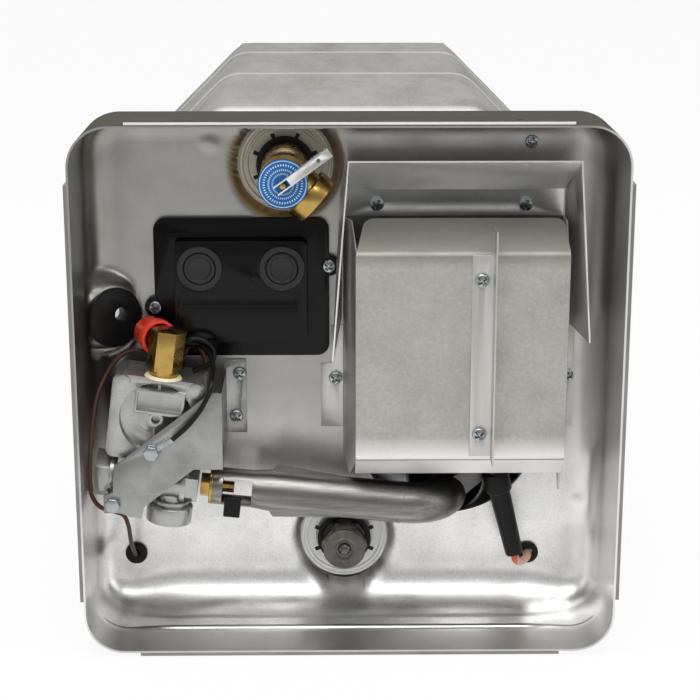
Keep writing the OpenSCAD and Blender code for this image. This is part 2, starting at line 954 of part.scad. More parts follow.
module relief_lever() {
    color([0.75, 0.75, 0.75]) on_lever() difference() {
        translate([-lever_tail, -lever_half, lever_back])
            cube([lever_tail + lever_length, 2 * lever_half, lever_front - lever_back]);
        translate([-lever_tail - eps, lever_sheet - lever_half, lever_back - eps])
            cube([lever_tail + lever_length + 2 * eps, 2 * (lever_half - lever_sheet),
                lever_front - lever_back - lever_sheet + eps]);
        translate([-lever_slot_tail, lever_sheet - lever_half, 0])
            cube([lever_slot_tail + lever_slot_tip, 2 * (lever_half - lever_sheet), lever_front + eps]);
        translate([lever_length - lever_eye_inset, 0, 0]) cylinder(h = lever_front + eps, r = lever_eye);
        translate([0, -lever_half - eps, 0]) along_y()
            cylinder(h = 2 * (lever_half + eps), r = lever_pin_radius + pin_gap);
    }
}

module relief_probe() {
    color([0.7, 0.55, 0.4]) on_panel(relief_at, panel_y - tank_front_y - socket_depth)
        translate([0, 0, -probe_length]) cylinder(h = probe_length, r = probe_radius);
}

module reset_cover() {
    color([0.06, 0.06, 0.06]) on_panel([0, 0]) difference() {
        union() {
            linear_extrude(cover_plate) {
                rounded([cover_left, cover_low],
                    [cover_right - cover_left, cover_high - cover_low], cover_radius);
                for (p = [ear_left, ear_right]) translate(p) circle(ear_radius);
            }
            linear_extrude(box_front)
                rounded([box_left, box_low], [box_right - box_left, box_high - box_low], cover_radius / 2);
            for (p = [button_left_at, button_right_at])
                translate([p[0], p[1], 0]) cylinder(h = box_front + collar_height, r = collar_radius);
            translate([pip_at[0], pip_at[1], 0]) cylinder(h = box_front + pip_height, r = pip_radius);
        }
        translate([box_left + cover_wall, box_low + cover_wall, -eps])
            cube([box_right - box_left - 2 * cover_wall, box_high - box_low - 2 * cover_wall,
                box_front - cover_wall + eps]);
        for (p = [button_left_at, button_right_at])
            translate([p[0], p[1], 0]) cylinder(h = 2 * box_front, r = button_radius + move_gap);
        for (p = [ear_left, ear_right])
            translate([p[0], p[1], -eps]) cylinder(h = box_front, r = hole_radius);
        translate([strip_low[0], strip_low[1], box_front - strip_depth])
            cube([strip_size[0], strip_size[1], box_front]);
    }
}

module button() {
    color([0.1, 0.1, 0.1]) difference() {
        union() {
            translate([0, 0, button_back]) cylinder(h = button_front - button_back, r = button_radius);
            translate([0, 0, button_back]) cylinder(h = button_lip_height, r = button_radius + button_lip);
        }
        translate([0, 0, button_front - button_dish_depth])
            cylinder(h = button_front, r = button_radius - button_dish);
    }
}

module button_left() {
    on_panel(button_left_at) button();
}

module button_right() {
    on_panel(button_right_at) button();
}

// snap switch between the tank end and a button
module snap_switch() {
    depth = tank_front_y - panel_y;
    translate([0, 0, -depth]) cylinder(h = depth + switch_front, r = switch_radius);
    cylinder(h = switch_pin_front, r = switch_pin_radius);
}

module thermostat() {
    color([0.25, 0.2, 0.16]) on_panel(button_left_at) snap_switch();
}

module limit_switch() {
    color([0.25, 0.2, 0.16]) on_panel(button_right_at) snap_switch();
}

module line_grommet() {
    color([0.05, 0.05, 0.05]) on_panel([0, 0]) on_boss() difference() {
        union() {
            cylinder(h = line_lip, r = line_lip_radius);
            translate([0, 0, -pan_sheet]) cylinder(h = pan_sheet, r = line_groove_radius);
            translate([0, 0, -pan_sheet - line_back]) cylinder(h = line_back, r = line_back_radius);
        }
        translate([line_hole_at[0], line_hole_at[1], -pan_sheet - line_back - eps])
            cylinder(h = pan_sheet + line_back + line_lip + 2 * eps, r = line_hole_radius);
    }
}

// small grommet through the panel
module grommet(bore) {
    color([0.05, 0.05, 0.05]) difference() {
        union() {
            cylinder(h = grommet_lip, r = grommet_radius);
            translate([0, 0, -pan_sheet]) cylinder(h = pan_sheet, r = grommet_hole);
            translate([0, 0, -pan_sheet - grommet_lip]) cylinder(h = grommet_lip, r = grommet_back_radius);
        }
        translate([0, 0, -2 * grommet_lip - pan_sheet]) cylinder(h = 4 * grommet_lip + pan_sheet, r = bore);
    }
}

module wire_grommet() {
    on_panel(wire_grommet_at) grommet(grommet_bore_wire);
}

module spark_grommet() {
    on_panel(spark_grommet_at) grommet(grommet_bore_spark);
}

// pipe run of the valve, local z along the run
module on_run() {
    translate([0, run_height, run_forward]) along_x() children();
}

module valve_body() {
    post_front = bracket_front - bracket_sheet - valve_stand;
    color([0.68, 0.69, 0.7]) on_valve() difference() {
        union() {
            difference() {
                linear_extrude(valve_front)
                    rounded([-valve_half, valve_low],
                        [2 * valve_half, valve_high - valve_low], valve_round);
                translate([0, 0, dish_floor]) cylinder(h = valve_front, r = dish_radius);
            }
            cylinder(h = hub_front, r = hub_radius);
            cylinder(h = eye_front, r = eye_radius);
            translate([-rib_width / 2, -dish_radius, 0]) cube([rib_width, 2 * dish_radius, rib_front]);
            translate([frame_low[0], frame_low[1], 0]) cube([frame_size[0], frame_size[1], frame_front]);
            for (i = [-1, 1])
                translate([i * corner_boss_at[0], corner_boss_at[1], 0])
                    cylinder(h = corner_boss_front, r = corner_boss_radius - eps / 2);
            translate([post_at[0], post_at[1], 0]) cylinder(h = post_front, r = post_radius);
            on_run() translate([0, 0, -run_half]) {
                cylinder(h = 2 * run_half, r = run_radius);
                cylinder(h = run_collar, r = run_collar_radius);
                translate([0, 0, 2 * run_half - run_collar])
                    cylinder(h = run_collar, r = run_collar_radius);
                translate([0, 0, 2 * run_half]) linear_extrude(nut_end - run_half) rotate(30)
                    hexagon(nut_hex);
            }
            translate([web_low[0], web_low[1], web_back])
                cube([web_size[0], web_size[1], web_front - web_back]);
            translate([neck_u, neck_end, run_forward]) along_y() {
                cylinder(h = run_height - neck_end, r = neck_radius);
                cylinder(h = neck_flange_height, r = neck_flange);
            }
            translate([lug_at[0], lug_at[1], lug_back])
                cylinder(h = post_front - lug_back, r = post_radius);
            translate([lug_at[0] - lug_web_half, lug_at[1], lug_back])
                cube([2 * lug_web_half, lug_web_high, lug_web_front - lug_back]);
        }
        translate([0, 0, eye_front - eye_hole_depth]) cylinder(h = eye_front, r = eye_hole);
        on_run() translate([0, 0, plug_left_end])
            cylinder(h = plug_left_start - plug_left_end, r = plug_left_hex / sqrt(3) + move_gap);
        translate([frame_low[0] + frame_wall, frame_low[1] + frame_wall, pocket_floor])
            cube([frame_size[0] - 2 * frame_wall, frame_size[1] - 2 * frame_wall, frame_front]);
        for (p = [post_at, lug_at])
            translate([p[0], p[1], post_front - plate_screw_depth])
                cylinder(h = 2 * plate_screw_depth, r = hole_radius);
    }
}

module valve_plug() {
    color([0.66, 0.67, 0.68]) on_valve() on_run() {
        translate([0, 0, plug_left_end])
            linear_extrude(plug_left_start - plug_left_collar_width - plug_left_end)
            rotate(30) hexagon(plug_left_hex);
        translate([0, 0, plug_left_start - plug_left_collar_width])
            cylinder(h = plug_left_collar_width, r = plug_left_collar);
    }
}

module valve_cap() {
    color([0.68, 0.69, 0.7]) on_valve() translate([neck_u, neck_end - bottom_cap_height, run_forward])
        along_y() cylinder(h = bottom_cap_height, r = bottom_cap_radius);
}

module valve_coil() {
    color([0.1, 0.1, 0.1]) on_valve() translate([coil_u, valve_high, coil_w])
        along_y() cylinder(h = coil_height, r = coil_radius);
}

module on_branch() {
    on_valve() translate([elbow_u, branch_height, elbow_w]) rotate([0, branch_turn, 0]) children();
}

module inlet_elbow() {
    color([0.72, 0.56, 0.24]) {
        on_valve() translate([elbow_u, 0, elbow_w]) along_y() {
            translate([0, 0, valve_high]) cylinder(h = elbow_hex_low - valve_high, r = elbow_foot_radius);
            translate([0, 0, elbow_hex_low]) linear_extrude(elbow_high - elbow_hex_low) hexagon(elbow_hex);
        }
        on_branch() {
            linear_extrude(branch_hex_end) hexagon(branch_hex);
            cylinder(h = branch_end, r = branch_radius - move_gap);
        }
    }
}

module inlet_sealant() {
    color([0.9, 0.87, 0.78]) on_valve() translate([elbow_u, valve_high, elbow_w]) along_y() difference() {
        cylinder(h = sealant_height, r1 = sealant_radius, r2 = sealant_radius - sealant_height);
        translate([0, 0, -eps]) cylinder(h = sealant_height + 2 * eps, r = elbow_foot_radius);
    }
}

module inlet_cap() {
    bore = branch_hex / sqrt(3) + move_gap;
    color([0.85, 0.15, 0.1]) on_branch() difference() {
        translate([0, 0, cap_start]) {
            cylinder(h = cap_brim, r = cap_radius);
            cylinder(h = cap_length, r = cap_cup_radius);
        }
        translate([0, 0, cap_start - eps]) cylinder(h = cap_hex_start - cap_start + eps, r = bore);
        translate([0, 0, cap_start]) cylinder(h = cap_length - cap_wall, r = branch_radius + move_gap);
    }
}

module valve_bracket() {
    color([0.72, 0.72, 0.7]) on_panel([0, 0]) difference() {
        union() {
            translate([0, 0, bracket_front - bracket_sheet]) linear_extrude(bracket_sheet)
                polygon(bracket_outline);
            translate([bracket_right - bracket_sheet, bracket_wall_low, 0])
                cube([bracket_sheet, bracket_wall_high - bracket_wall_low, bracket_front]);
            translate([bracket_right - bracket_sheet, bracket_foot_low, 0])
                cube([bracket_foot_right - bracket_right + bracket_sheet,
                    bracket_foot_high - bracket_foot_low,
                    bracket_sheet]);
        }
        for (p = bracket_screw_at)
            translate([p[0], p[1], -eps]) cylinder(h = bracket_sheet + 2 * eps, r = hole_radius);
        translate([0, 0, valve_stand]) translate([valve_at[0], valve_at[1], 0]) rotate([0, 0, valve_turn])
            for (p = [post_at, lug_at]) translate([p[0], p[1], 0])
                cylinder(h = bracket_front, r = hole_radius);
    }
}

// hexagon screw standing on the plane z = 0
module hex_screw() {
    linear_extrude(plate_hex_height) hexagon(plate_hex);
    translate([0, 0, -plate_screw_depth]) cylinder(h = plate_screw_depth, r = screw_radius);
}

module valve_screws() {
    seat = bracket_front - valve_stand;
    color([0.7, 0.74, 0.78]) on_valve() {
        translate([post_at[0], post_at[1], seat + terminal_sheet]) hex_screw();
        translate([lug_at[0], lug_at[1], seat]) hex_screw();
    }
}

module ring_terminal() {
    color([0.82, 0.8, 0.74]) on_valve() translate([post_at[0], post_at[1], bracket_front - valve_stand]) {
        difference() {
            union() {
                cylinder(h = terminal_sheet, r = terminal_radius);
                rotate(terminal_turn - valve_turn) translate([0, -terminal_barrel_radius, 0])
                    cube([terminal_barrel_start + terminal_barrel_length, 2 * terminal_barrel_radius,
                        terminal_sheet]);
            }
            translate([0, 0, -eps]) cylinder(h = terminal_sheet + 2 * eps, r = hole_radius);
        }
    }
}

module orifice() {
    color([0.74, 0.58, 0.25]) on_burner() along_x() {
        translate([0, 0, orifice_gap]) linear_extrude(orifice_hex_end - orifice_gap) rotate(30)
            hexagon(orifice_hex);
        translate([0, 0, orifice_hex_end])
            cylinder(h = orifice_disc_end - orifice_hex_end, r = orifice_disc);
        translate([0, 0, orifice_disc_end]) cylinder(h = spud_end - orifice_disc_end, r = spud_radius);
    }
}

// burner tube as a solid, drawn inward by an inset
module burner_solid(inset) {
    along_x() {
        translate([0, 0, orifice_disc_end])
            cylinder(h = venturi_end - orifice_disc_end, r = venturi_radius - inset);
        translate([0, 0, venturi_end])
            cylinder(h = cone_end - venturi_end, r1 = venturi_radius - inset, r2 = burner_radius - inset);
        translate([0, 0, cone_end]) cylinder(h = bend_start - cone_end, r = burner_radius - inset);
    }
    translate([bend_start, 0, -bend_radius]) rotate([90, 0, 0])
        rotate_extrude(angle = 90) translate([bend_radius, 0]) circle(burner_radius - inset);
    translate([bend_start + bend_radius, 0, -bend_radius - burner_tail])
        cylinder(h = burner_tail, r = burner_radius - inset);
}

// weld bead around the tube, centred on the plane z = 0
module burner_bead() {
    translate([0, 0, -burner_bead_width / 2]) difference() {
        cylinder(h = burner_bead_width, r = burner_radius + burner_bead_height);
        translate([0, 0, -eps])
            cylinder(h = burner_bead_width + 2 * eps, r = burner_radius - burner_wall / 2);
    }
}

module burner_wing() {
    translate([0, 0, -wing_sheet / 2]) linear_extrude(wing_sheet) polygon([
        [wing_start, burner_radius - burner_wall], [wing_start, venturi_radius],
        [wing_peak, burner_radius + wing_reach], [wing_end, burner_radius],
        [wing_end, burner_radius - burner_wall]
    ]);
}

module burner_tube() {
    color([0.62, 0.61, 0.59]) {
        on_burner() {
            translate([bend_start, 0, 0]) along_x() burner_bead();
            translate([bend_start + bend_radius, 0, -bend_radius]) burner_bead();
        }
        difference() {
            union() {
                on_burner() burner_solid(0);
                on_burner() {
                    burner_wing();
                    mirror([0, 1, 0]) burner_wing();
                }
                difference() {
                    on_panel([0, 0], holder_plane) linear_extrude(holder_sheet) polygon(holder_outline);
                    on_panel(electrode_at) cylinder(h = 2 * holder_plane, r = electrode_radius);
                }
            }
            on_burner() burner_solid(burner_wall);
            on_burner() {
                along_x() translate([0, 0, orifice_disc_end - eps])
                    cylinder(h = 2 * eps, r = venturi_radius - burner_wall);
                translate([window_start, -window_half, -2 * venturi_radius])
                    cube([venturi_end - window_start, 2 * window_half, 4 * venturi_radius]);
                translate([bend_start + bend_radius, 0, -bend_radius - burner_tail - eps])
                    cylinder(h = 2 * eps, r = burner_radius - burner_wall);
            }
        }
    }
}

module air_shutter() {
    front_gap = sqrt(pow(venturi_radius, 2) - pow(window_half, 2)) + 2 * move_gap;
    color([0.1, 0.1, 0.1]) on_burner() {
        translate([shutter_start, shutter_low, front_gap])
            cube([shutter_length, shutter_high - shutter_low, shutter_front - front_gap]);
        translate([shutter_start, shutter_low, shutter_back])
            cube([shutter_length, shutter_lip, front_gap - shutter_back]);
    }
}

module flue_visor() {
    t = flue_sheet;
    color([0.7, 0.7, 0.69]) on_panel([0, 0]) difference() {
        union() {
            translate([visor_left, visor_low, 0])
                cube([visor_right - visor_left, visor_fold - visor_low, t]);
            blade([visor_left, visor_fold - t, 0], [visor_right, visor_fold - t, 0],
                [visor_front_right, visor_top - t, visor_front],
                [visor_front_left, visor_top - t, visor_front],
                [0, t, 0]);
            blade([visor_left, visor_fold, 0], [visor_front_left, visor_top, visor_front],
                [side_left_low[0], side_left_low[1], visor_front], [visor_left, side_rear_low, 0],
                [t, 0, 0]);
            blade([visor_right + 2 * t, visor_fold, 0], [visor_front_right, visor_top, visor_front],
                [side_right_low[0], side_right_low[1], visor_front],
                [visor_right + 2 * t, side_rear_low, 0], [-t, 0, 0]);
        }
        for (p = visor_screw_at) translate([p[0], p[1], -eps]) cylinder(h = t + 2 * eps, r = hole_radius);
    }
}

// side wall of the flue box in its own plane, point is the lowest corner
module wall_plate(point) {
    rotate([90, 0, 90]) linear_extrude(flue_sheet) polygon([
        [wall_bottom, 0], [point, wall_point_front],
        [lip_bottom[0] + 2 * wall_gap, lip_bottom[1] - 3 * wall_gap],
        [face_low + wall_gap, face_front - flue_sheet - wall_gap],
        [face_high - wall_gap, face_front - flue_sheet - wall_gap],
        [lip_top[0] - 3 * wall_gap, lip_top[1] - 2 * wall_gap], [wall_top, 0]
    ]);
}

module flue_wall_left() {
    color([0.68, 0.68, 0.67]) on_panel([0, 0]) difference() {
        union() {
            translate([wall_left_x, 0, 0]) rotate([0, wall_left_turn, 0]) wall_plate(wall_left_point);
            translate([foot_left[0], foot_left[1], 0])
                cube([wall_left_x - foot_left[0] + flue_sheet, foot_high - foot_left[1], flue_sheet]);
            translate([foot_ear_left, foot_left[1], 0])
                cube([wall_left_x - foot_ear_left, foot_ear_high - foot_left[1], flue_sheet]);
        }
        translate([foot_screw_left[0], foot_screw_left[1], -eps])
            cylinder(h = flue_sheet + 2 * eps, r = hole_radius);
        translate([wall_left_x, -pan_height / 2, -flue_sheet])
            cube([flue_leg_radius, pan_height, flue_sheet]);
    }
}

module flue_wall_right() {
    color([0.68, 0.68, 0.67]) on_panel([0, 0]) difference() {
        union() {
            translate([wall_right_x - flue_sheet, 0, 0]) rotate([0, wall_right_turn, 0])
                wall_plate(wall_right_point);
            translate([wall_right_x - flue_sheet, foot_left[1], 0])
                cube([foot_right - wall_right_x + flue_sheet, foot_high - foot_left[1], flue_sheet]);
        }
        translate([foot_screw_right[0], foot_screw_right[1], -eps])
            cylinder(h = flue_sheet + 2 * eps, r = hole_radius);
        translate([wall_right_x - flue_leg_radius, -pan_height / 2, -flue_sheet])
            cube([2 * flue_leg_radius, pan_height, flue_sheet]);
    }
}

module flue_cover() {
    t = flue_sheet;
    top_run = unit([lip_top[0] - face_high, lip_top[1] - face_front]);
    low_run = unit([lip_bottom[0] - face_low, lip_bottom[1] - face_front]);
    color([0.66, 0.65, 0.62]) on_panel([0, 0]) difference() {
        translate([face_left, 0, 0]) rotate([90, 0, 90]) linear_extrude(face_right - face_left) polygon([
            lip_top, [face_high, face_front], [face_low, face_front], lip_bottom,
            [lip_bottom[0] - t * low_run[1], lip_bottom[1] + t * low_run[0]],
            [face_low + t / 2, face_front - t], [face_high - t / 2, face_front - t],
            [lip_top[0] + t * top_run[1], lip_top[1] - t * top_run[0]]
        ]);
        for (p = fin_screw_at) translate([p[0], p[1], 0]) cylinder(h = pan_depth, r = hole_radius);
    }
}

module cover_fin() {
    color([0.68, 0.68, 0.66]) on_panel([0, 0]) difference() {
        union() {
            translate([fin_base_left, fin_base_low, face_front])
                cube([fin_right - fin_base_left, fin_base_high - fin_base_low, flue_sheet]);
            translate([fin_right - flue_sheet, fin_low, face_front])
                cube([flue_sheet, fin_high - fin_low, pan_depth - fin_front_gap - face_front]);
        }
        for (p = fin_screw_at) translate([p[0], p[1], 0])
            cylinder(h = face_front + 2 * flue_sheet, r = hole_radius);
    }
}

module fin_screws() {
    color([0.74, 0.76, 0.78]) for (p = fin_screw_at)
        on_panel(p, face_front + flue_sheet) screw(fin_screw_length);
}

module panel_screws() {
    color([0.74, 0.76, 0.78]) {
        for (p = [ear_left, ear_right]) on_panel(p, cover_plate) screw(cover_plate + screw_length);
        for (p = bracket_screw_at) on_panel(p, bracket_sheet) screw(screw_length);
        for (p = concat(visor_screw_at, [foot_screw_left, foot_screw_right]))
            on_panel(p, flue_sheet) screw(screw_length);
        on_panel(pan_screw_at) screw(screw_length);
    }
}

module electrode() {
    color([0.92, 0.91, 0.88]) {
        on_panel(electrode_at, -electrode_back)
            cylinder(h = electrode_front + electrode_back, r = electrode_radius);
        on_panel(boot_top, boot_front) rotate([0, 0, boot_turn]) along_x()
            translate([0, 0, -terminal_neck_length]) cylinder(h = terminal_neck_length, r = terminal_neck);
    }
}

module electrode_boot() {
    color([0.07, 0.07, 0.07]) on_panel(boot_top, boot_front) rotate([0, 0, boot_turn]) along_x() {
        cylinder(h = boot_length, r1 = boot_radius, r2 = boot_tip_radius);
        cylinder(h = boot_collar, r = boot_collar_radius);
    }
}

module spark_lead() {
    color([0.82, 0.35, 0.2]) lead(spark_path, spark_radius);
}

module brown_leads() {
    color([0.35, 0.18, 0.12]) {
        lead(brown_long, brown_radius);
        lead(brown_short, brown_radius);
    }
}

module black_leads() {
    color([0.08, 0.08, 0.08]) {
        lead(black_loop, black_radius);
        lead(black_ground, black_radius);
    }
}

pan();
flange_top();
flange_bottom();
flange_left();
flange_right();
jacket();
rear_cover();
insulation();
tank();
flue_tube();
flue_baffle();
cold_inlet();
hot_outlet();
dip_tube();
drain_plug();
anode_rod();
drain_seal();
drain_ring();
relief_seal();
relief_ring();
relief_body();
relief_disc();
relief_stem();
relief_pin();
relief_lever();
relief_probe();
reset_cover();
button_left();
button_right();
thermostat();
limit_switch();
line_grommet();
wire_grommet();
spark_grommet();
valve_body();
valve_plug();
valve_cap();
valve_coil();
inlet_elbow();
inlet_sealant();
inlet_cap();
valve_bracket();
valve_screws();
ring_terminal();
orifice();
burner_tube();
air_shutter();
flue_visor();
flue_wall_left();
flue_wall_right();
flue_cover();
cover_fin();
fin_screws();
panel_screws();
electrode();
electrode_boot();
spark_lead();
brown_leads();
black_leads();
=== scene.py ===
"""Looks of the caravan water heater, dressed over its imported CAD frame. Row frame, metres."""

import json
import math

import bmesh
import bpy
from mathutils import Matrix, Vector

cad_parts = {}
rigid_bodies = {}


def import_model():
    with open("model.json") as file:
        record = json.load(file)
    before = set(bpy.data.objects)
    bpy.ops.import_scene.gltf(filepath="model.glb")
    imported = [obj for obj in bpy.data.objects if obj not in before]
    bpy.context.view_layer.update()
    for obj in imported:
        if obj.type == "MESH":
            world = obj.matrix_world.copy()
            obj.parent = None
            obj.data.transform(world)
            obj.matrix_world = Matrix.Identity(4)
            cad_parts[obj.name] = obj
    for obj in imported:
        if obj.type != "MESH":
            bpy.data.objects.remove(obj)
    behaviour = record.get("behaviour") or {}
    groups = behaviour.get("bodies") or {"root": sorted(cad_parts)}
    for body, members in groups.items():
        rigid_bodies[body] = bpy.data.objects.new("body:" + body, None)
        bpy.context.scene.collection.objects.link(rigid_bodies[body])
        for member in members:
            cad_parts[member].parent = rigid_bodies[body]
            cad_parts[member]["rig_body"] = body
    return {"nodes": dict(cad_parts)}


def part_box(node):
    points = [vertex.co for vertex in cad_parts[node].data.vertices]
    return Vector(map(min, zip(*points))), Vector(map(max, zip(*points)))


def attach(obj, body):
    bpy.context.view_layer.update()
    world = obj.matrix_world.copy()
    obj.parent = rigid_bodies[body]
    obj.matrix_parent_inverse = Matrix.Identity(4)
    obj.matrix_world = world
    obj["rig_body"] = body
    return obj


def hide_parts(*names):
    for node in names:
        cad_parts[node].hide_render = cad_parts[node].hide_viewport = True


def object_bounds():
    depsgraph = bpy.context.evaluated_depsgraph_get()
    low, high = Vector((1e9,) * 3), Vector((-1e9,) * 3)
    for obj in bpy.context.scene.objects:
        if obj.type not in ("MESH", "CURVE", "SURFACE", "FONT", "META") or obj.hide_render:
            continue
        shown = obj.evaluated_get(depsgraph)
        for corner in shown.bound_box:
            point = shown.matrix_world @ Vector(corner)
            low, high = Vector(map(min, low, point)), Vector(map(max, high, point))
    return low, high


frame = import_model()
cad_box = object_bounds()
NODES = frame["nodes"]

MM = 0.001
SHEET = 1.2
PAN_LOW, PAN_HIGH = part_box("pan")
PANEL_Y = PAN_HIGH.y - SHEET * MM
MID_Z = (PAN_LOW.z + PAN_HIGH.z) / 2
PAN_HALF = (PAN_HIGH.x - PAN_LOW.x) / 2 / MM
PAN_DEPTH = (PANEL_Y - PAN_LOW.y) / MM
RIM_RADIUS = 24
CREASE_DEPTH = 32
DRAIN_AT, DRAIN_RADIUS = (-2.8, -115), 27.8
RELIEF_AT, RELIEF_RADIUS = (-37.9, 124.4), 29
BEADS = (182, 319)
BEAD_HEIGHT = 1.0
BEAD_WIDTH = 3


def at(x, z, f):
    """A point given in millimetres from the panel's centre: right, up, forward."""
    return Vector((x * MM, PANEL_Y - f * MM, MID_Z + z * MM))


def smooth(a, b, x):
    """0 below a, 1 above b, an S-curve between."""
    t = min(1.0, max(0.0, (x - a) / (b - a)))
    return t * t * (3 - 2 * t)


# Camera: the photograph looks slightly down on the open front.

CAMERA_FROM_RIM = 1.0
CAMERA_ABOVE_MIDDLE = 0.306
CAMERA_X = -0.012
CAMERA_DOWN_DEG = 15.44
CAMERA_LENS = 92.8

camera_data = bpy.data.cameras.new("camera")
camera_data.lens = CAMERA_LENS
camera = bpy.data.objects.new("camera", camera_data)
camera.location = (CAMERA_X, PAN_LOW.y - CAMERA_FROM_RIM, MID_Z + CAMERA_ABOVE_MIDDLE)
camera.rotation_euler = (math.radians(90 - CAMERA_DOWN_DEG), 0, math.atan(CAMERA_X / CAMERA_FROM_RIM))
bpy.context.scene.collection.objects.link(camera)
bpy.context.scene.camera = camera
bpy.context.scene.view_settings.view_transform = "Standard"


# Materials: one builder, then one short function for each kind of finish.

class Look:
    """A node material built step by step on one Principled shader."""

    def __init__(self, name, color, rough, metallic=0.0):
        self.material = bpy.data.materials.new(name)
        self.material.use_nodes = True
        self.nodes = self.material.node_tree.nodes
        self.links = self.material.node_tree.links
        self.shader = self.nodes["Principled BSDF"]
        self.shader.inputs["Base Color"].default_value = (*color, 1)
        self.shader.inputs["Roughness"].default_value = rough
        self.shader.inputs["Metallic"].default_value = metallic
        self.place = self.nodes.new("ShaderNodeTexCoord").outputs["Object"]
        self.color = color

    def noise(self, size, detail=3.0, stretch=(1, 1, 1), rough=0.55):
        """Noise with features of about size millimetres."""
        mapping = self.nodes.new("ShaderNodeMapping")
        mapping.inputs["Scale"].default_value = stretch
        self.links.new(self.place, mapping.inputs["Vector"])
        tex = self.nodes.new("ShaderNodeTexNoise")
        tex.inputs["Scale"].default_value = 1 / (size * MM)
        tex.inputs["Detail"].default_value = detail
        tex.inputs["Roughness"].default_value = rough
        self.links.new(mapping.outputs["Vector"], tex.inputs["Vector"])
        return tex.outputs["Fac"]

    def ramp(self, fac, low, high, a=0.0, b=1.0):
        """Maps low..high to a..b, held at both ends."""
        node = self.nodes.new("ShaderNodeMapRange")
        node.inputs["From Min"].default_value = low
        node.inputs["From Max"].default_value = high
        node.inputs["To Min"].default_value = a
        node.inputs["To Max"].default_value = b
        self.links.new(fac, node.inputs["Value"])
        return node.outputs["Result"]

    def span(self, distance, low, high, a=0.0, b=1.0):
        """ramp() for a distance, with low and high in millimetres."""
        return self.ramp(distance, low * MM, high * MM, a, b)

    def math(self, kind, a, b=None):
        """One Math node; a and b are numbers or sockets."""
        node = self.nodes.new("ShaderNodeMath")
        node.operation = kind
        for socket, value in zip(node.inputs, (a, b)):
            if isinstance(value, (int, float)):
                socket.default_value = value
            elif value is not None:
                self.links.new(value, socket)
        return node.outputs[0]

    def times(self, first, *others):
        for other in others:
            first = self.math("MULTIPLY", first, other)
        return first

    def beyond(self, name, origin):
        """Distance along one axis from origin, both in metres."""
        return self.math("SUBTRACT", self.axis(name), origin)

    def around(self, x, z):
        """Distances right, up and in all from a line along Y."""
        right, up = self.beyond("X", x), self.beyond("Z", z)
        squares = self.math("ADD", self.math("POWER", right, 2), self.math("POWER", up, 2))
        return right, up, self.math("SQRT", squares)

    def axis(self, name):
        """One coordinate in the row frame, metres."""
        node = self.nodes.new("ShaderNodeSeparateXYZ")
        self.links.new(self.place, node.inputs[0])
        return node.outputs[name]

    def facing(self, name):
        """One part of the surface's own direction."""
        node = self.nodes.new("ShaderNodeSeparateXYZ")
        self.links.new(self.nodes.new("ShaderNodeNewGeometry").outputs["Normal"], node.inputs[0])
        return node.outputs[name]

    def tint(self, fac, color):
        """Lays color over what is there by fac."""
        mix = self.nodes.new("ShaderNodeMix")
        mix.data_type = "RGBA"
        base = self.shader.inputs["Base Color"]
        if base.is_linked:
            self.links.new(base.links[0].from_socket, mix.inputs["A"])
        else:
            mix.inputs["A"].default_value = (*self.color, 1)
        mix.inputs["B"].default_value = (*color, 1)
        self.links.new(fac, mix.inputs["Factor"])
        self.links.new(mix.outputs["Result"], base)

    def roughen(self, fac, low, high):
        """Roughness between low and high, following a noise."""
        self.links.new(self.ramp(fac, 0.3, 0.7, low, high), self.shader.inputs["Roughness"])

    def metal(self, fac):
        """Bare metal where fac is 1, dull and matt where it is 0."""
        self.links.new(fac, self.shader.inputs["Metallic"])
        self.shader.inputs["Specular IOR Level"].default_value = 0.0

    def bump(self, fac, height, strength=1.0):
        """Relief of height millimetres."""
        node = self.nodes.new("ShaderNodeBump")
        node.inputs["Strength"].default_value = strength
        node.inputs["Distance"].default_value = height * MM
        self.links.new(fac, node.inputs["Height"])
        normal = self.shader.inputs["Normal"]
        if normal.is_linked:
            self.links.new(normal.links[0].from_socket, node.inputs["Normal"])
        self.links.new(node.outputs["Normal"], normal)


def shade(color, by):
    return tuple(c * by for c in color)


def sheet_metal(name, color, rough, mottle=0.16, stain=0.0, stretch=(1, 1, 1)):
    """Rolled, coated sheet: broad mottling, fine grain, a few scuffs and brown stains."""
    look = Look(name, color, rough, 1.0)
    broad = look.noise(28, 4, stretch)
    fine = look.noise(1.6, 2)
    look.tint(look.ramp(broad, 0.42, 0.66, 0, 1), shade(color, 1 - mottle))
    look.tint(look.ramp(fine, 0.5, 0.72, 0, 0.35), shade(color, 1 + 0.5 * mottle))
    scuff = look.noise(9, 5, (0.15, 0.15, 1), 0.7)
    look.tint(look.ramp(scuff, 0.66, 0.74, 0, 0.35), shade(color, 1.25))
    if stain:
        brown = look.noise(60, 5)
        look.tint(look.ramp(brown, 0.58, 0.8, 0, stain), (0.3, 0.24, 0.16))
    look.roughen(broad, rough - 0.05, rough + 0.08)
    look.bump(fine, 0.02, 0.5)
    return look


def cast_metal(name, color, rough):
    """Die-cast alloy with a fine sandy skin."""
    look = Look(name, color, rough, 0.85)
    grain = look.noise(0.9, 3)
    broad = look.noise(12, 4)
    look.tint(look.ramp(broad, 0.4, 0.7, 0, 0.6), shade(color, 0.8))
    look.tint(look.ramp(grain, 0.55, 0.8, 0, 0.5), shade(color, 0.7))
    look.roughen(broad, rough - 0.05, rough + 0.1)
    look.bump(grain, 0.05, 0.6)
    return look


def turned_metal(name, color, rough, dull):
    """Machined metal: slight tool marks and patches of tarnish."""
    look = Look(name, color, rough, 1.0)
    patch = look.noise(6, 4)
    marks = look.noise(0.5, 2, (1, 4, 1))
    look.tint(look.ramp(patch, 0.48, 0.75, 0, 0.8), dull)
    look.roughen(patch, rough - 0.06, rough + 0.12)
    look.bump(marks, 0.015, 0.5)
    return look


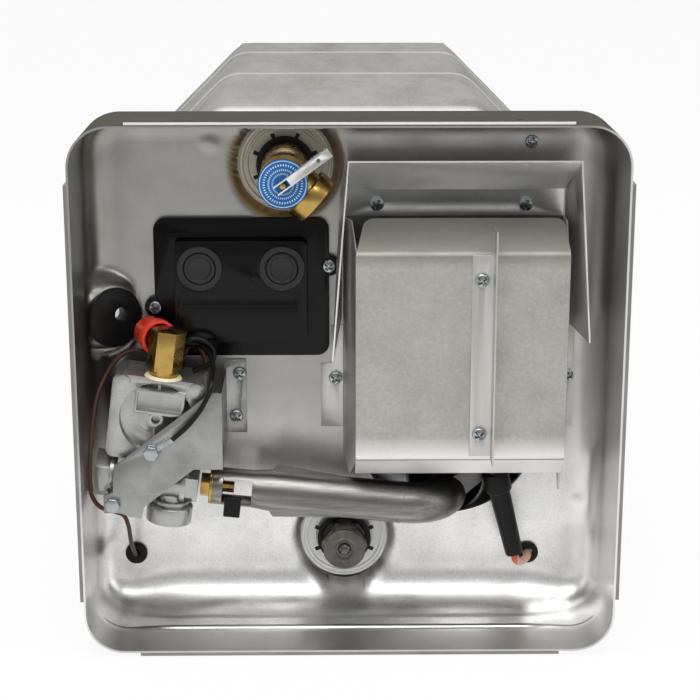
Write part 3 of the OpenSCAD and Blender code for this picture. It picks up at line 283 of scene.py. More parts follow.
def moulded(name, color, rough, grain=0.6, speck=0.2, height=0.03, gloss=0.5):
    """Moulded plastic or rubber with a fine grain and a little dust."""
    look = Look(name, color, rough)
    look.shader.inputs["Specular IOR Level"].default_value = gloss
    fine = look.noise(grain, 2)
    dust = look.noise(7, 6, rough=0.75)
    look.tint(look.ramp(dust, 0.56, 0.78, 0, speck), tuple(min(1, 1.6 * c + 0.01) for c in color))
    look.roughen(dust, rough - 0.06, rough + 0.08)
    look.bump(fine, height, 0.5)
    return look


# Painted shade, painted light and stains of the pan, in millimetres from the panel's centre, its plane or the
# crease.
PAINTED_SHADE_ABOVE = (-105, -15)
STAIN_AND_SHADE_BENDS, STAIN_AND_SHADE_DEPTH = (130, 150), (-30, -8)
PAINTED_LIGHT_RIGHT_WALL = (135, 153)
CREASE_SHADE_AT, CREASE_SHADE = 1.2, (0.6, 1.4)
CREASE_SHADE_FLOOR, LIP_SHADE_FLOOR = (-152, -150), (-150, -140)
LIP_SHADE_DEPTH = (-6, -1)
ROLL_SHADE = (1.5, 5)
OUTSIDE_SHADE_FACING, OUTSIDE_SHADE_FROM = (50, 90), (142, 147)


def pan_finish(name):
    """Drawn sheet: bright low inside with painted shade above, a brown stain with painted shade along its
    bends, painted light on the right wall, painted shade along the crease, the lip and the holes' rolls, and
    painted shade on the matt outside.
    """
    look = sheet_metal(name, (0.89, 0.885, 0.875), 0.33, 0.1, 0.15)
    side = look.math("ABSOLUTE", look.axis("X"))
    up = look.beyond("Z", MID_Z)
    # Painted shade: the panel darker towards its top, where the top wall shades it.
    look.tint(look.span(up, *PAINTED_SHADE_ABOVE, 0, 0.88), (0.31, 0.304, 0.29))
    blotch = look.noise(5, 5, rough=0.7)
    look.tint(look.ramp(blotch, 0.55, 0.75, 0, 0.25), (0.3, 0.29, 0.27))
    grain = look.noise(1.3, 2, rough=0.7)
    look.tint(look.ramp(grain, 0.45, 0.7, 0, 0.2), (0.3, 0.29, 0.28))

    # Brown stain and painted corner shade, strongest where the panel meets its side and top walls.
    bends = look.span(look.math("MAXIMUM", side, up), *STAIN_AND_SHADE_BENDS)
    deep = look.span(look.beyond("Y", PANEL_Y), *STAIN_AND_SHADE_DEPTH)
    streak = look.ramp(look.noise(22, 4), 0.4, 0.65, 0.0, 0.26)
    look.tint(look.times(bends, deep, streak), (0.3, 0.25, 0.17))
    # Painted light: the right wall lighter than the rest of the pan.
    look.tint(look.span(look.axis("X"), *PAINTED_LIGHT_RIGHT_WALL, 0, 0.8), (0.86, 0.855, 0.845))

    # Painted shade: a dark line along the bottom wall's crease.
    behind_crease = look.beyond("Y", PAN_LOW.y + CREASE_DEPTH * MM)
    off_crease_shade = look.math("ABSOLUTE", look.math("SUBTRACT", behind_crease, CREASE_SHADE_AT * MM))
    line = look.span(off_crease_shade, *CREASE_SHADE, 1, 0)
    look.tint(look.times(line, look.span(up, *CREASE_SHADE_FLOOR, 0.8, 0)), (0.16, 0.155, 0.145))
    # Painted shade: the bottom wall darker in front of the crease.
    lip_shade = look.span(behind_crease, *LIP_SHADE_DEPTH, 1, 0)
    look.tint(look.times(lip_shade, look.span(up, *LIP_SHADE_FLOOR, 0.75, 0)), (0.5, 0.49, 0.47))

    # Painted shade: a dark ring on the rolled edge round each hole.
    for (hole_x, hole_z), radius in ((DRAIN_AT, DRAIN_RADIUS), (RELIEF_AT, RELIEF_RADIUS)):
        _, _, away = look.around(hole_x * MM, MID_Z + hole_z * MM)
        roll_shade = look.span(away, radius + ROLL_SHADE[0], radius + ROLL_SHADE[1], 0.75, 0)
        look.tint(roll_shade, (0.26, 0.25, 0.23))

    # Painted shade: the outward-facing outside of the pan near black, and matt there.
    outward = look.math("ADD", look.times(look.axis("X"), look.facing("X")), look.times(up, look.facing("Z")))
    far = look.math("MAXIMUM", side, look.math("ABSOLUTE", up))
    painted_shade_outside = look.times(look.span(outward, *OUTSIDE_SHADE_FACING), look.span(far, *OUTSIDE_SHADE_FROM))
    look.tint(painted_shade_outside, (0.085, 0.08, 0.07))
    look.metal(look.math("SUBTRACT", 1, painted_shade_outside))
    return look


# Painted light and shade of the flue cover, in millimetres above the panel's centre.
PAINTED_LIGHT_FOLD, PAINTED_SHADE_LIP = (-43, -28), (74, 81)
LOW_FOLD_AT, LOW_FOLD_SHADE = -43.2, (0.4, 0.8)


def flue_finish(name):
    """Plain aluminised sheet, matt, with painted light along the low fold of the cover, a painted shade line
    on that fold and painted shade on its upper lip.
    """
    look = sheet_metal(name, (0.5, 0.49, 0.455), 0.58, 0.12, 0.12)
    up = look.beyond("Z", MID_Z)
    mottle = look.noise(2.4, 5, rough=0.75)
    look.tint(look.ramp(mottle, 0.45, 0.7, 0, 0.5), (0.36, 0.345, 0.31))
    look.tint(look.ramp(mottle, 0.42, 0.3, 0, 0.5), (0.64, 0.63, 0.6))
    # Painted light: the cover brighter along its low fold.
    look.tint(look.span(up, *PAINTED_LIGHT_FOLD, 0.95, 0), (0.97, 0.965, 0.95))
    # Painted shade: the upper lip darker than the face.
    look.tint(look.span(up, *PAINTED_SHADE_LIP, 0, 0.8), (0.27, 0.26, 0.235))
    # Painted shade: a dark line along the low fold.
    off_fold = look.math("ABSOLUTE", look.math("SUBTRACT", up, LOW_FOLD_AT * MM))
    look.tint(look.span(off_fold, *LOW_FOLD_SHADE, 0.7, 0), (0.22, 0.215, 0.2))
    return look


SOOT = (45, 85)


def burner_finish(name):
    """Brushed tube, sooty towards the flame end."""
    look = sheet_metal(name, (0.27, 0.265, 0.255), 0.33, 0.2, 0.15, (0.3, 1, 1))
    streak = look.noise(1.4, 4, (0.06, 1, 1), 0.65)
    look.tint(look.ramp(streak, 0.4, 0.7, 0, 0.75), (0.14, 0.136, 0.125))
    look.tint(look.span(look.axis("X"), *SOOT, 0, 0.85), (0.09, 0.085, 0.078))
    return look


HIGHLIGHT_DEPTH, HIGHLIGHT_FLOOR = (0.7, 1.2), (0.5, 0.8)


def shaded_with_edge_highlight(name, color, low):
    """Sheet in painted shade with a painted highlight along its cut front edge; low is the low corner of the
    piece's box.
    """
    look = sheet_metal(name, color, 0.42, 0.12, 0.2)
    # Painted highlight: a bright band along the cut front edge.
    edge = look.times(look.span(look.beyond("Y", low.y), *HIGHLIGHT_DEPTH, 1, 0),
                      look.span(look.beyond("Z", low.z), *HIGHLIGHT_FLOOR))
    look.tint(edge, (0.62, 0.615, 0.6))
    look.shader.inputs["Metallic"].default_value = 0.0
    look.shader.inputs["Specular IOR Level"].default_value = 0.0
    return look


BRIGHT_SHOULDER = (10, 28)


def jacket_finish(name):
    """Rolled sheet with rust streaks and pale flecks, painted highlights along the beads and a bright front
    shoulder.
    """
    look = sheet_metal(name, (0.29, 0.283, 0.268), 0.4, 0.18, 0.0, (1, 0.35, 1))
    rust = look.noise(20, 5, (0.5, 0.25, 1), 0.7)
    look.tint(look.ramp(rust, 0.56, 0.74, 0, 0.6), (0.17, 0.13, 0.085))
    fleck = look.noise(2.0, 3, (1, 0.3, 1), 0.7)
    look.tint(look.ramp(fleck, 0.56, 0.7, 0, 0.5), (0.44, 0.43, 0.41))
    bead_highlight = None
    for bead in BEADS:
        away = look.math("ABSOLUTE", look.beyond("Y", PANEL_Y + (SHEET + bead) * MM))
        line = look.span(away, 0.2 * BEAD_WIDTH, 0.7 * BEAD_WIDTH, 1, 0)
        bead_highlight = line if bead_highlight is None else look.math("MAXIMUM", bead_highlight, line)
    # Painted highlight: a pale, less metallic line along the crest of each bead.
    look.tint(bead_highlight, (0.46, 0.455, 0.44))
    look.tint(look.span(look.beyond("Y", PANEL_Y), *BRIGHT_SHOULDER, 0.9, 0), (0.9, 0.895, 0.88))
    look.metal(look.ramp(bead_highlight, 0, 1, 0.5, 0.1))
    return look


LABEL_TICKS = 46
LABEL_BANDS = ((5.4, 6.3), (7.6, 8.7), (10.2, 11.4))
LABEL_RING = (12.9, 13.4)
LABEL_BLUE, LABEL_PALE = (0.012, 0.115, 0.33), (0.6, 0.68, 0.74)


def label_disc(name, low, high):
    """Round printed label inside a box: plain blue with pale ticks and a ring."""
    look = Look(name, LABEL_BLUE, 0.45)
    look.shader.inputs["Specular IOR Level"].default_value = 0.15
    centre = (low + high) / 2
    right, up, radius = look.around(centre.x, centre.z)
    ticks = look.ramp(look.math("SINE", look.times(look.math("ARCTAN2", up, right), LABEL_TICKS)), 0.0, 0.5)
    for inner, outer in LABEL_BANDS:
        band = look.times(look.span(radius, inner, inner + 0.2), look.span(radius, outer, outer + 0.2, 1, 0))
        look.tint(look.times(band, ticks, 0.85), LABEL_PALE)
    inner, outer = LABEL_RING
    ring = look.times(look.span(radius, inner, inner + 0.3), look.span(radius, outer, outer + 0.3, 1, 0))
    look.tint(look.times(ring, 0.8), LABEL_PALE)
    look.bump(look.noise(0.8), 0.02, 0.4)
    return look


SLEEVE_FROM = 105.5
SLEEVE_EDGE = 0.4


def sleeved_wire(name):
    """Orange silicone lead with a pink sleeve towards its grommet."""
    look = moulded(name, (0.62, 0.12, 0.03), 0.35, 0.5)
    look.tint(look.span(look.axis("X"), SLEEVE_FROM, SLEEVE_FROM + SLEEVE_EDGE), (0.72, 0.42, 0.36))
    return look


LOOKS = {
    "pan": pan_finish("pan_metal"),
    "flange": sheet_metal("flange_metal", (0.3, 0.29, 0.275), 0.42, 0.12, 0.2),
    # The top flange: painted shade, near black, with a painted highlight on its front edge.
    "flange_painted_shade": shaded_with_edge_highlight("flange_painted_shade_metal", (0.085, 0.08, 0.07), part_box("flange_top")[0]),
    "jacket": jacket_finish("jacket_metal"),
    "flue": flue_finish("flue_metal"),
    "fin": sheet_metal("fin_metal", (0.6, 0.59, 0.56), 0.42, 0.1, 0.05, (1, 1, 0.2)),
    "visor": sheet_metal("visor_metal", (0.97, 0.965, 0.94), 0.42, 0.12, 0.1),
    "burner": burner_finish("burner_metal"),
    "bracket": sheet_metal("bracket_metal", (0.38, 0.38, 0.37), 0.34, 0.3, 0.15),
    "casting": cast_metal("casting", (0.46, 0.46, 0.45), 0.28),
    "zinc": turned_metal("zinc", (0.42, 0.45, 0.46), 0.22, (0.28, 0.31, 0.33)),
    "lever": turned_metal("lever_metal", (0.8, 0.8, 0.79), 0.24, (0.6, 0.6, 0.58)),
    "brass": turned_metal("brass", (0.5, 0.33, 0.095), 0.24, (0.3, 0.19, 0.05)),
    "dark_steel": turned_metal("dark_steel", (0.13, 0.122, 0.11), 0.3, (0.075, 0.068, 0.058)),
    "steel": turned_metal("plain_steel", (0.45, 0.46, 0.48), 0.4, (0.3, 0.3, 0.31)),
    "flue_pipe": turned_metal("flue_pipe_metal", (0.2, 0.18, 0.16), 0.5, (0.1, 0.08, 0.07)),
    "black": moulded("black_plastic", (0.003, 0.003, 0.003), 0.2, gloss=0.2),
    "button": moulded("button_plastic", (0.022, 0.022, 0.023), 0.38, gloss=0.3),
    "rubber": moulded("black_rubber", (0.006, 0.006, 0.006), 0.4, gloss=0.2),
    "red": moulded("red_plastic", (0.72, 0.045, 0.02), 0.3, 1.0, 0.15),
    "white_seal": moulded("white_seal", (0.92, 0.92, 0.89), 0.45, 1.2, 0.0),
    "cream_seal": moulded("cream_seal", (0.6, 0.56, 0.46), 0.5, 1.2, 0.0),
    "sealant": moulded("thread_sealant", (0.74, 0.66, 0.45), 0.55, 1.5, 0.2, 0.2),
    "foam": moulded("foam", (0.75, 0.66, 0.4), 0.8, 2.5, 0.3, 0.4),
    "ceramic": moulded("ceramic", (0.8, 0.78, 0.72), 0.3),
    "natural": moulded("natural_plastic", (0.66, 0.66, 0.6), 0.4),
    "brown": moulded("brown_plastic", (0.06, 0.035, 0.02), 0.35),
    "brown_wire": moulded("brown_wire", (0.065, 0.024, 0.015), 0.34, 0.5, gloss=0.25),
    "black_wire": moulded("black_wire", (0.006, 0.006, 0.006), 0.3, 0.5, gloss=0.2),
    "spark_wire": sleeved_wire("spark_wire"),
    "label": label_disc("label_disc", *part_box("relief_disc")),
}


# Mesh helpers.

def dress(obj, look, body="heater", *nodes):
    """Material, body and the CAD nodes that a new piece stands for."""
    obj.data.materials.clear()
    obj.data.materials.append(LOOKS[look].material)
    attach(obj, body)
    if nodes:
        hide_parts(*nodes)
    return obj


def shaded(mesh, degrees=32):
    """Smooth shading that breaks at edges sharper than the angle."""
    for polygon in mesh.polygons:
        polygon.use_smooth = True
    mesh.set_sharp_from_angle(angle=math.radians(degrees))
    return mesh


def made(name, data):
    obj = bpy.data.objects.new(name, data)
    bpy.context.scene.collection.objects.link(obj)
    return obj


def gathered(parts):
    """Joins (points, faces) pairs into one."""
    points, faces = [], []
    for part_points, part_faces in parts:
        faces += [tuple(i + len(points) for i in face) for face in part_faces]
        points += part_points
    return points, faces


def grid_faces(rows, columns, closed=False):
    """Quads between rows of points, columns per row; closed joins each row's ends."""
    across = columns if closed else columns - 1
    return [(j * columns + i, j * columns + (i + 1) % columns,
             (j + 1) * columns + (i + 1) % columns, (j + 1) * columns + i)
            for j in range(rows - 1) for i in range(across)]


def rounded_corner(start, corner, end, steps):
    """Points of a soft turn from start to end, drawn towards the corner."""
    shares = [k / steps for k in range(steps + 1)]
    return [start * (1 - t) ** 2 + corner * 2 * t * (1 - t) + end * t * t for t in shares]


def thickened(obj, thickness, offset):
    """Makes a skin a sheet; offset 1 grows it along its faces' directions, -1 against them."""
    skin = obj.modifiers.new("sheet", "SOLIDIFY")
    skin.thickness = thickness * MM
    skin.offset = offset


def from_faces(name, points, faces, smooth_angle=32):
    mesh = bpy.data.meshes.new(name)
    mesh.from_pydata([tuple(p) for p in points], [], faces)
    bm = bmesh.new()
    bm.from_mesh(mesh)
    bmesh.ops.remove_doubles(bm, verts=bm.verts, dist=1e-6)
    bmesh.ops.recalc_face_normals(bm, faces=bm.faces)
    bm.to_mesh(mesh)
    bm.free()
    return made(name, shaded(mesh, smooth_angle))


def settled(obj, smooth_angle=32):
    """Turns an object's modifiers into its mesh."""
    bpy.context.view_layer.update()
    mesh = bpy.data.meshes.new_from_object(obj.evaluated_get(bpy.context.evaluated_depsgraph_get()))
    obj.modifiers.clear()
    obj.data = shaded(mesh, smooth_angle)
    return obj


def body_of_node(node):
    return NODES[node]["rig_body"]


FLAT_WITHIN = 0.8
SHARP_FROM = 32


def softened(node, look, width):
    """A copy of a CAD node with its sharp edges rounded by width millimetres."""
    mesh = NODES[node].data.copy()
    bm = bmesh.new()
    bm.from_mesh(mesh)
    bmesh.ops.remove_doubles(bm, verts=bm.verts, dist=2e-6)
    bmesh.ops.dissolve_limit(bm, angle_limit=math.radians(FLAT_WITHIN), verts=bm.verts, edges=bm.edges)
    bm.to_mesh(mesh)
    bm.free()
    obj = made("soft_" + node, mesh)
    bevel = obj.modifiers.new("edges", "BEVEL")
    bevel.width = width * MM
    bevel.segments = 2
    bevel.limit_method = "ANGLE"
    bevel.angle_limit = math.radians(SHARP_FROM)
    bevel.use_clamp_overlap = True
    settled(obj, 40)
    return dress(obj, look, body_of_node(node), node)


def solids(node):
    """The box of each separate solid in a CAD node."""
    bm = bmesh.new()
    bm.from_mesh(NODES[node].data)
    bmesh.ops.remove_doubles(bm, verts=bm.verts, dist=2e-6)
    todo, found = set(bm.verts), []
    while todo:
        stack, island = [todo.pop()], []
        while stack:
            v = stack.pop()
            island.append(v.co.copy())
            for e in v.link_edges:
                w = e.other_vert(v)
                if w in todo:
                    todo.discard(w)
                    stack.append(w)
        low = Vector([min(p[i] for p in island) for i in range(3)])
        high = Vector([max(p[i] for p in island) for i in range(3)])
        found.append((low, high))
    bm.free()
    return sorted(found, key=lambda b: tuple(b[0]))


# Drawn pan: flat panel, bends and walls as rings of one sheet, with pressed features.

BEND = 17
BEND_LOW = 26
GRID = 96
FLAT_HALF = 112
WALL_STEPS = 14
BEND_STEPS = 9
EDGE_STEPS = 12
CREASE_HALF = 1.6
CREASE_STEP = 1.7
LOW_FROM, LOW_ENDS = (60, 120), (105, 150)
FLUE_AT, FLUE_RADIUS = (61.5, -40.4), 57
HOLE_ROLL = 6.5
HOLE_DROP = 4.5
NECK_HALF = 7.5
NECK_BLEND = 10
NO_NECK = 99
DIMPLES = ((144.6, -91), (-83.5, 138))
DIMPLE_HEIGHT, DIMPLE_RADIUS = 2.0, 6.5
DIMPLE_PIT, DIMPLE_PIT_RADIUS = 1.2, 2
CUT_BACK, CUT_FRONT, FLUE_CUT_BACK, BOSS_CUT_BACK, SHORT_CUT_FRONT = 14, 14, 10, 12, 6
FLUE_SIDES = 96
ARC_STEPS = 12
CREASE_ROWS = (-2, -1, -0.5, 0, 0.5, 1, 2)
BOSS_AT, BOSS_RADIUS, BOSS_BLEND, BOSS_HOLE = (-143.4, 33.4, 12), 19.5, 8, 15.5
BOSS_ANGLE = math.radians(40)
BOSS_OUT = Vector((math.sin(BOSS_ANGLE), 0, math.cos(BOSS_ANGLE)))


def spun(x, y, turn):
    return x * math.cos(turn) - y * math.sin(turn), x * math.sin(turn) + y * math.cos(turn)


def perimeter(half, radius, steps):
    """Points round a rounded square, steps per side, ARC_STEPS of them in its half corners."""
    flat = half - radius
    straight = 1 - ARC_STEPS / steps
    points = []
    for side in range(4):
        for i in range(steps):
            s = -1 + 2 * i / steps
            if abs(s) <= straight:
                x, y = half, flat * s / straight
            else:
                a = math.copysign((abs(s) - straight) / (1 - straight) * math.pi / 4, s)
                x, y = flat + radius * math.cos(a), math.copysign(flat, s) + radius * math.sin(a)
            points.append(spun(x, y, side * math.pi / 2))
    return points


def square(half, steps):
    """Points round a plain square that pair with perimeter()."""
    return [spun(half, half * (-1 + 2 * i / steps), side * math.pi / 2)
            for side in range(4) for i in range(steps)]


def low_side(x, z):
    """1 along the bottom wall, 0 elsewhere."""
    return smooth(*LOW_FROM, -z) * (1 - smooth(*LOW_ENDS, abs(x)))


def pressed(x, z):
    """Depth of the panel's pressed features behind its plane."""
    dx, dz = x - DRAIN_AT[0], z - DRAIN_AT[1]
    disc = math.hypot(dx, dz) - DRAIN_RADIUS
    neck = abs(dx) - NECK_HALF if dz < 0 else NO_NECK
    h = max(NECK_BLEND - abs(disc - neck), 0) / NECK_BLEND
    joined = min(disc, neck) - h * h * NECK_BLEND / 4
    ring = math.hypot(x - RELIEF_AT[0], z - RELIEF_AT[1]) - RELIEF_RADIUS
    depth = sum(HOLE_DROP * (1 - smooth(-1, HOLE_ROLL, edge)) for edge in (joined, ring))
    for dimple_x, dimple_z in DIMPLES:
        away = math.hypot(x - dimple_x, z - dimple_z)
        depth -= DIMPLE_HEIGHT * (1 - smooth(0, DIMPLE_RADIUS, away))
        depth += DIMPLE_PIT * (1 - smooth(0, DIMPLE_PIT_RADIUS, away))
    return depth


def on_boss(p):
    """Pulls the sheet up to the slanted seat of the gas line's grommet."""
    q = p - Vector(BOSS_AT)
    along = q.dot(BOSS_OUT)
    radial = (q - along * BOSS_OUT).length
    pull = 1 - smooth(BOSS_RADIUS, BOSS_RADIUS + BOSS_BLEND, radial)
    return p - BOSS_OUT * along * pull if along < 0 else p


def bend_of(x, z):
    return BEND + (BEND_LOW - BEND) * low_side(x, z)


def away_from_core(x, z):
    """Outward direction at a point of the pan's rim."""
    core = PAN_HALF - RIM_RADIUS
    return Vector((x - max(-core, min(core, x)), z - max(-core, min(core, z)))).normalized()


def pan_sheet():
    """The pan's inner skin: rings from the flat panel's edge to the rim, and a grid between them."""
    outer = perimeter(PAN_HALF - SHEET, RIM_RADIUS - SHEET, GRID)
    unit = [away_from_core(x, z) for x, z in outer]
    rings = []

    inner = square(FLAT_HALF, GRID)
    edge = [(x - u.x * bend_of(x, z), z - u.y * bend_of(x, z)) for (x, z), u in zip(outer, unit)]
    for k in range(EDGE_STEPS + 1):
        line = [Vector(a).lerp(Vector(b), k / EDGE_STEPS) for a, b in zip(inner, edge)]
        rings.append([Vector((*p, -pressed(*p))) for p in line])

    for k in range(1, BEND_STEPS + 1):
        a = math.pi / 2 * k / BEND_STEPS
        ring = []
        for (x, z), u in zip(outer, unit):
            r = bend_of(x, z)
            inset = r * (1 - math.sin(a))
            px, pz = x - u.x * inset, z - u.y * inset
            ring.append(Vector((px, pz, r * (1 - math.cos(a)) - pressed(px, pz) * math.cos(a) ** 2)))
        rings.append(ring)

    crease, low_wall = PAN_DEPTH - CREASE_DEPTH, PAN_DEPTH - BEND_LOW
    near_crease = {(crease - BEND_LOW + d * CREASE_HALF) / low_wall for d in CREASE_ROWS}
    for t in sorted(near_crease | {k / WALL_STEPS for k in range(1, WALL_STEPS + 1)}):
        ring = []
        for (x, z), u in zip(outer, unit):
            f = bend_of(x, z) + (PAN_DEPTH - bend_of(x, z)) * t
            lift = CREASE_STEP * low_side(x, z) * (1 - smooth(crease - CREASE_HALF, crease + CREASE_HALF, f))
            ring.append(Vector((x - u.x * lift, z - u.y * lift, f)))
        rings.append(ring)

    walls = [on_boss(p) for ring in rings for p in ring], grid_faces(len(rings), len(outer), True)
    places = [-FLAT_HALF + 2 * FLAT_HALF * k / GRID for k in range(GRID + 1)]
    panel = [Vector((x, z, -pressed(x, z))) for z in places for x in places], grid_faces(GRID + 1, GRID + 1)
    points, faces = gathered((walls, panel))
    return from_faces("drawn_pan", [at(*p) for p in points], faces, 60)


def cutter(centre, out, radius, back, front, sides=64):
    """A closed cylinder for a hole, in row-frame metres."""
    spin = Vector((0, 0, 1)).rotation_difference(out).to_matrix()
    angles = [2 * math.pi * i / sides for i in range(sides)]
    points = [centre + spin @ Vector((radius * math.cos(a), radius * math.sin(a), h)) * MM
              for h in (-back, front) for a in angles]
    ends = [tuple(range(sides - 1, -1, -1)), tuple(range(sides, 2 * sides))]
    return points, ends + grid_faces(2, sides, True)


FORWARD = Vector((0, -1, 0))


def pan():
    obj = pan_sheet()
    thickened(obj, SHEET, 1)
    boss_out = Vector((BOSS_OUT.x, -BOSS_OUT.z, BOSS_OUT.y))
    cuts = (cutter(at(*DRAIN_AT, 0), FORWARD, DRAIN_RADIUS, CUT_BACK, CUT_FRONT),
            cutter(at(*RELIEF_AT, 0), FORWARD, RELIEF_RADIUS, CUT_BACK, CUT_FRONT),
            cutter(at(*FLUE_AT, 0), FORWARD, FLUE_RADIUS, FLUE_CUT_BACK, SHORT_CUT_FRONT, FLUE_SIDES),
            cutter(at(*BOSS_AT), boss_out, BOSS_HOLE, BOSS_CUT_BACK, SHORT_CUT_FRONT))
    tool = from_faces("hole_cutter", *gathered(cuts))
    hole = obj.modifiers.new("holes", "BOOLEAN")
    hole.object = tool
    hole.operation = "DIFFERENCE"
    hole.solver = "EXACT"
    settled(obj, 50)
    bpy.data.objects.remove(tool)
    return dress(obj, "pan", "heater", "pan")


# Jacket: rounded octagon lofted from the pan to the rear, with beads across its top and sides.

JACKET_LOW, JACKET_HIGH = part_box("jacket")
JACKET_CHAMFER = 70
JACKET_CHAMFER_LOW = 62.4
JACKET_CORNER = 24
SHOULDER = 40
SHOULDER_INSET = 11
REAR_ROUND = 8
CHAMFER_SHRINK = 0.586
CORNER_STEPS, SIDE_STEPS = 6, 12
SHOULDER_STATIONS = (0, 1, 2.5, 5, 8, 12, 17, 23, 30, SHOULDER)
REAR_STATIONS = (0, 1, 3, REAR_ROUND)
BEAD_STATIONS = (-5, -3, -2, -1, 0, 1, 2, 3, 5)
STATION_STEP, STATION_MARGIN = 10, 12
BEAD_FLAT = 0.6
BEAD_FADE = (24, 34)
JACKET_SHEET = 1.0


def octagon(half_x, half_z, inset, corner):
    """Outline of the jacket's section, corners rounded."""
    w, h = half_x - inset, half_z - inset
    c = JACKET_CHAMFER - inset * CHAMFER_SHRINK
    b = JACKET_CHAMFER_LOW - inset * CHAMFER_SHRINK
    raw = [(w, b - h), (w, h - c), (w - c, h), (c - w, h), (-w, h - c), (-w, b - h), (b - w, -h), (w - b, -h)]
    cut = corner * math.tan(math.pi / 8)
    points = []
    for i, p in enumerate(raw):
        p, before, after = Vector(p), Vector(raw[i - 1]), Vector(raw[(i + 1) % 8])
        ahead = (after - p).normalized()
        end = p + ahead * cut
        points += rounded_corner(p + (before - p).normalized() * cut, p, end, CORNER_STEPS)
        side = (after - end).length - cut
        points += [end + ahead * side * k / SIDE_STEPS for k in range(1, SIDE_STEPS)]
    return points


def quarter_round(share):
    """How far a quarter circle has dropped, from 0 at share 0 to 1 at share 1."""
    return 1 - math.sqrt(max(0, 1 - share * share))


def jacket():
    half_x = (JACKET_HIGH.x - JACKET_LOW.x) / 2 / MM - BEAD_HEIGHT
    low_z = (JACKET_LOW.z - MID_Z) / MM
    top_z = (JACKET_HIGH.z - MID_Z) / MM - BEAD_HEIGHT
    mid, half_z = (low_z + top_z) / 2, (top_z - low_z) / 2
    length = (JACKET_HIGH.y - JACKET_LOW.y) / MM
    stations = set(SHOULDER_STATIONS) | {length - d for d in REAR_STATIONS}
    stations |= {b + d for b in BEADS for d in BEAD_STATIONS}
    stations |= set(range(SHOULDER + STATION_STEP, int(length) - STATION_MARGIN, STATION_STEP))
    points = []
    for s in sorted(stations):
        inset = SHOULDER_INSET * quarter_round(max(0, 1 - s / SHOULDER))
        inset += REAR_ROUND / 2 * quarter_round(max(0, 1 - (length - s) / REAR_ROUND))
        bead = sum(BEAD_HEIGHT * (1 - smooth(BEAD_FLAT, BEAD_WIDTH / 2, abs(s - b))) for b in BEADS)
        section = octagon(half_x, half_z, inset, JACKET_CORNER)
        for p in section:
            high = smooth(low_z + BEAD_FADE[0], low_z + BEAD_FADE[1], p.y + mid)
            push = 1 + bead * high / max(1, p.length)
            points.append(at(p.x * push, p.y * push + mid, -SHEET - s))
    obj = from_faces("jacket_shell", points, grid_faces(len(stations), len(section), True), 40)
    thickened(obj, JACKET_SHEET, -1)
    settled(obj, 40)
    return dress(obj, "jacket", "heater", "jacket")


# Turned pieces: seals of the two tank ports, the drain plug, the button collars and the flue hole's lip.

def turned(name, centre, profile, reach=None, sides=96):
    """A closed profile of (radius, forward) turned about the forward axis.

    reach(angle, radius, forward), where given, moves each point.
    """
    points = []
    for k in range(sides):
        a = 2 * math.pi * k / sides
        for r, f in profile:
            r, f = reach(a, r, f) if reach else (r, f)
            points.append(at(centre[0] + r * math.cos(a), centre[1] + r * math.sin(a), f))
    n = len(profile)
    faces = [tuple(i % len(points) for i in face) for face in grid_faces(sides + 1, n, True)]
    return from_faces(name, points, faces, 30)


# A seal's face: share of the way from its bore to its rim, and how far forward of the panel.
SEAL_FACE = ((0, -5.6), (0.2, -5.2), (0.53, -5.1), (0.57, -3.8), (0.63, -3.8), (0.67, -5.2), (0.76, -5.2),
             (0.8, -3.5), (0.9, -3.4), (0.95, -5.0), (1, -5.0))
SEAL_BACK = -7
SEAL_ROOM = 0.1
DRAIN_SOCKET, RELIEF_SOCKET = 18, 15


def port_seal(node, look, centre, inner, outer):
    """Moulded seal with two beads, let into the pressed hole of the panel."""
    profile = [(inner + (outer - inner) * t, f) for t, f in SEAL_FACE]
    profile += [(outer, SEAL_BACK), (inner, SEAL_BACK)]
    return dress(turned(node + "_beaded", centre, profile), look, "heater", node)


PLUG_FACE_RADIUS, PLUG_FACE_EDGE, PLUG_FACE_DEPTH = 13.25, 0.4, 4
PLUG_FLATS = 24.6
PLUG_FRONT, PLUG_BACK = 20.4, 2.4
PLUG_THREAD, PLUG_THREAD_END = 13.3, -12
PLUG_CRIMP = ((0, 2.0), (1.4, 1.8), (2.7, 1.2), (3.7, 0.1), (4.3, -0.9), (5.2, -0.9), (6.2, -0.3), (8, 0))
PLUG_SIDES = 120


def drain_plug():
    """Round face with a crimped middle on a hexagon head."""
    def reach(angle, r, f):
        if r <= PLUG_THREAD:
            return r, f
        return PLUG_FLATS / 2 / math.cos(angle % (math.pi / 3) - math.pi / 6), f

    hex_front = PLUG_FRONT - PLUG_FACE_DEPTH
    profile = [(r, PLUG_FRONT + d) for r, d in PLUG_CRIMP]
    profile += [(PLUG_FACE_RADIUS - PLUG_FACE_EDGE, PLUG_FRONT),
                (PLUG_FACE_RADIUS, PLUG_FRONT - PLUG_FACE_EDGE), (PLUG_FACE_RADIUS, hex_front)]
    profile += [(PLUG_FLATS, hex_front), (PLUG_FLATS, PLUG_BACK)]
    profile += [(PLUG_THREAD, PLUG_BACK), (PLUG_THREAD, PLUG_THREAD_END), (0, PLUG_THREAD_END)]
    obj = turned("turned_drain_plug", DRAIN_AT, profile, reach, PLUG_SIDES)
    return dress(obj, "dark_steel", "heater", "drain_plug")


BUTTONS = ((-89.7, 64.9), (-40.2, 64.9))
COLLAR_INNER, COLLAR_OUTER, COLLAR_FRONT = 9.9, 13.7, 19.9
COLLAR_BACK = 18.5
COLLAR_INNER_EDGE, COLLAR_OUTER_EDGE = 0.3, 0.4


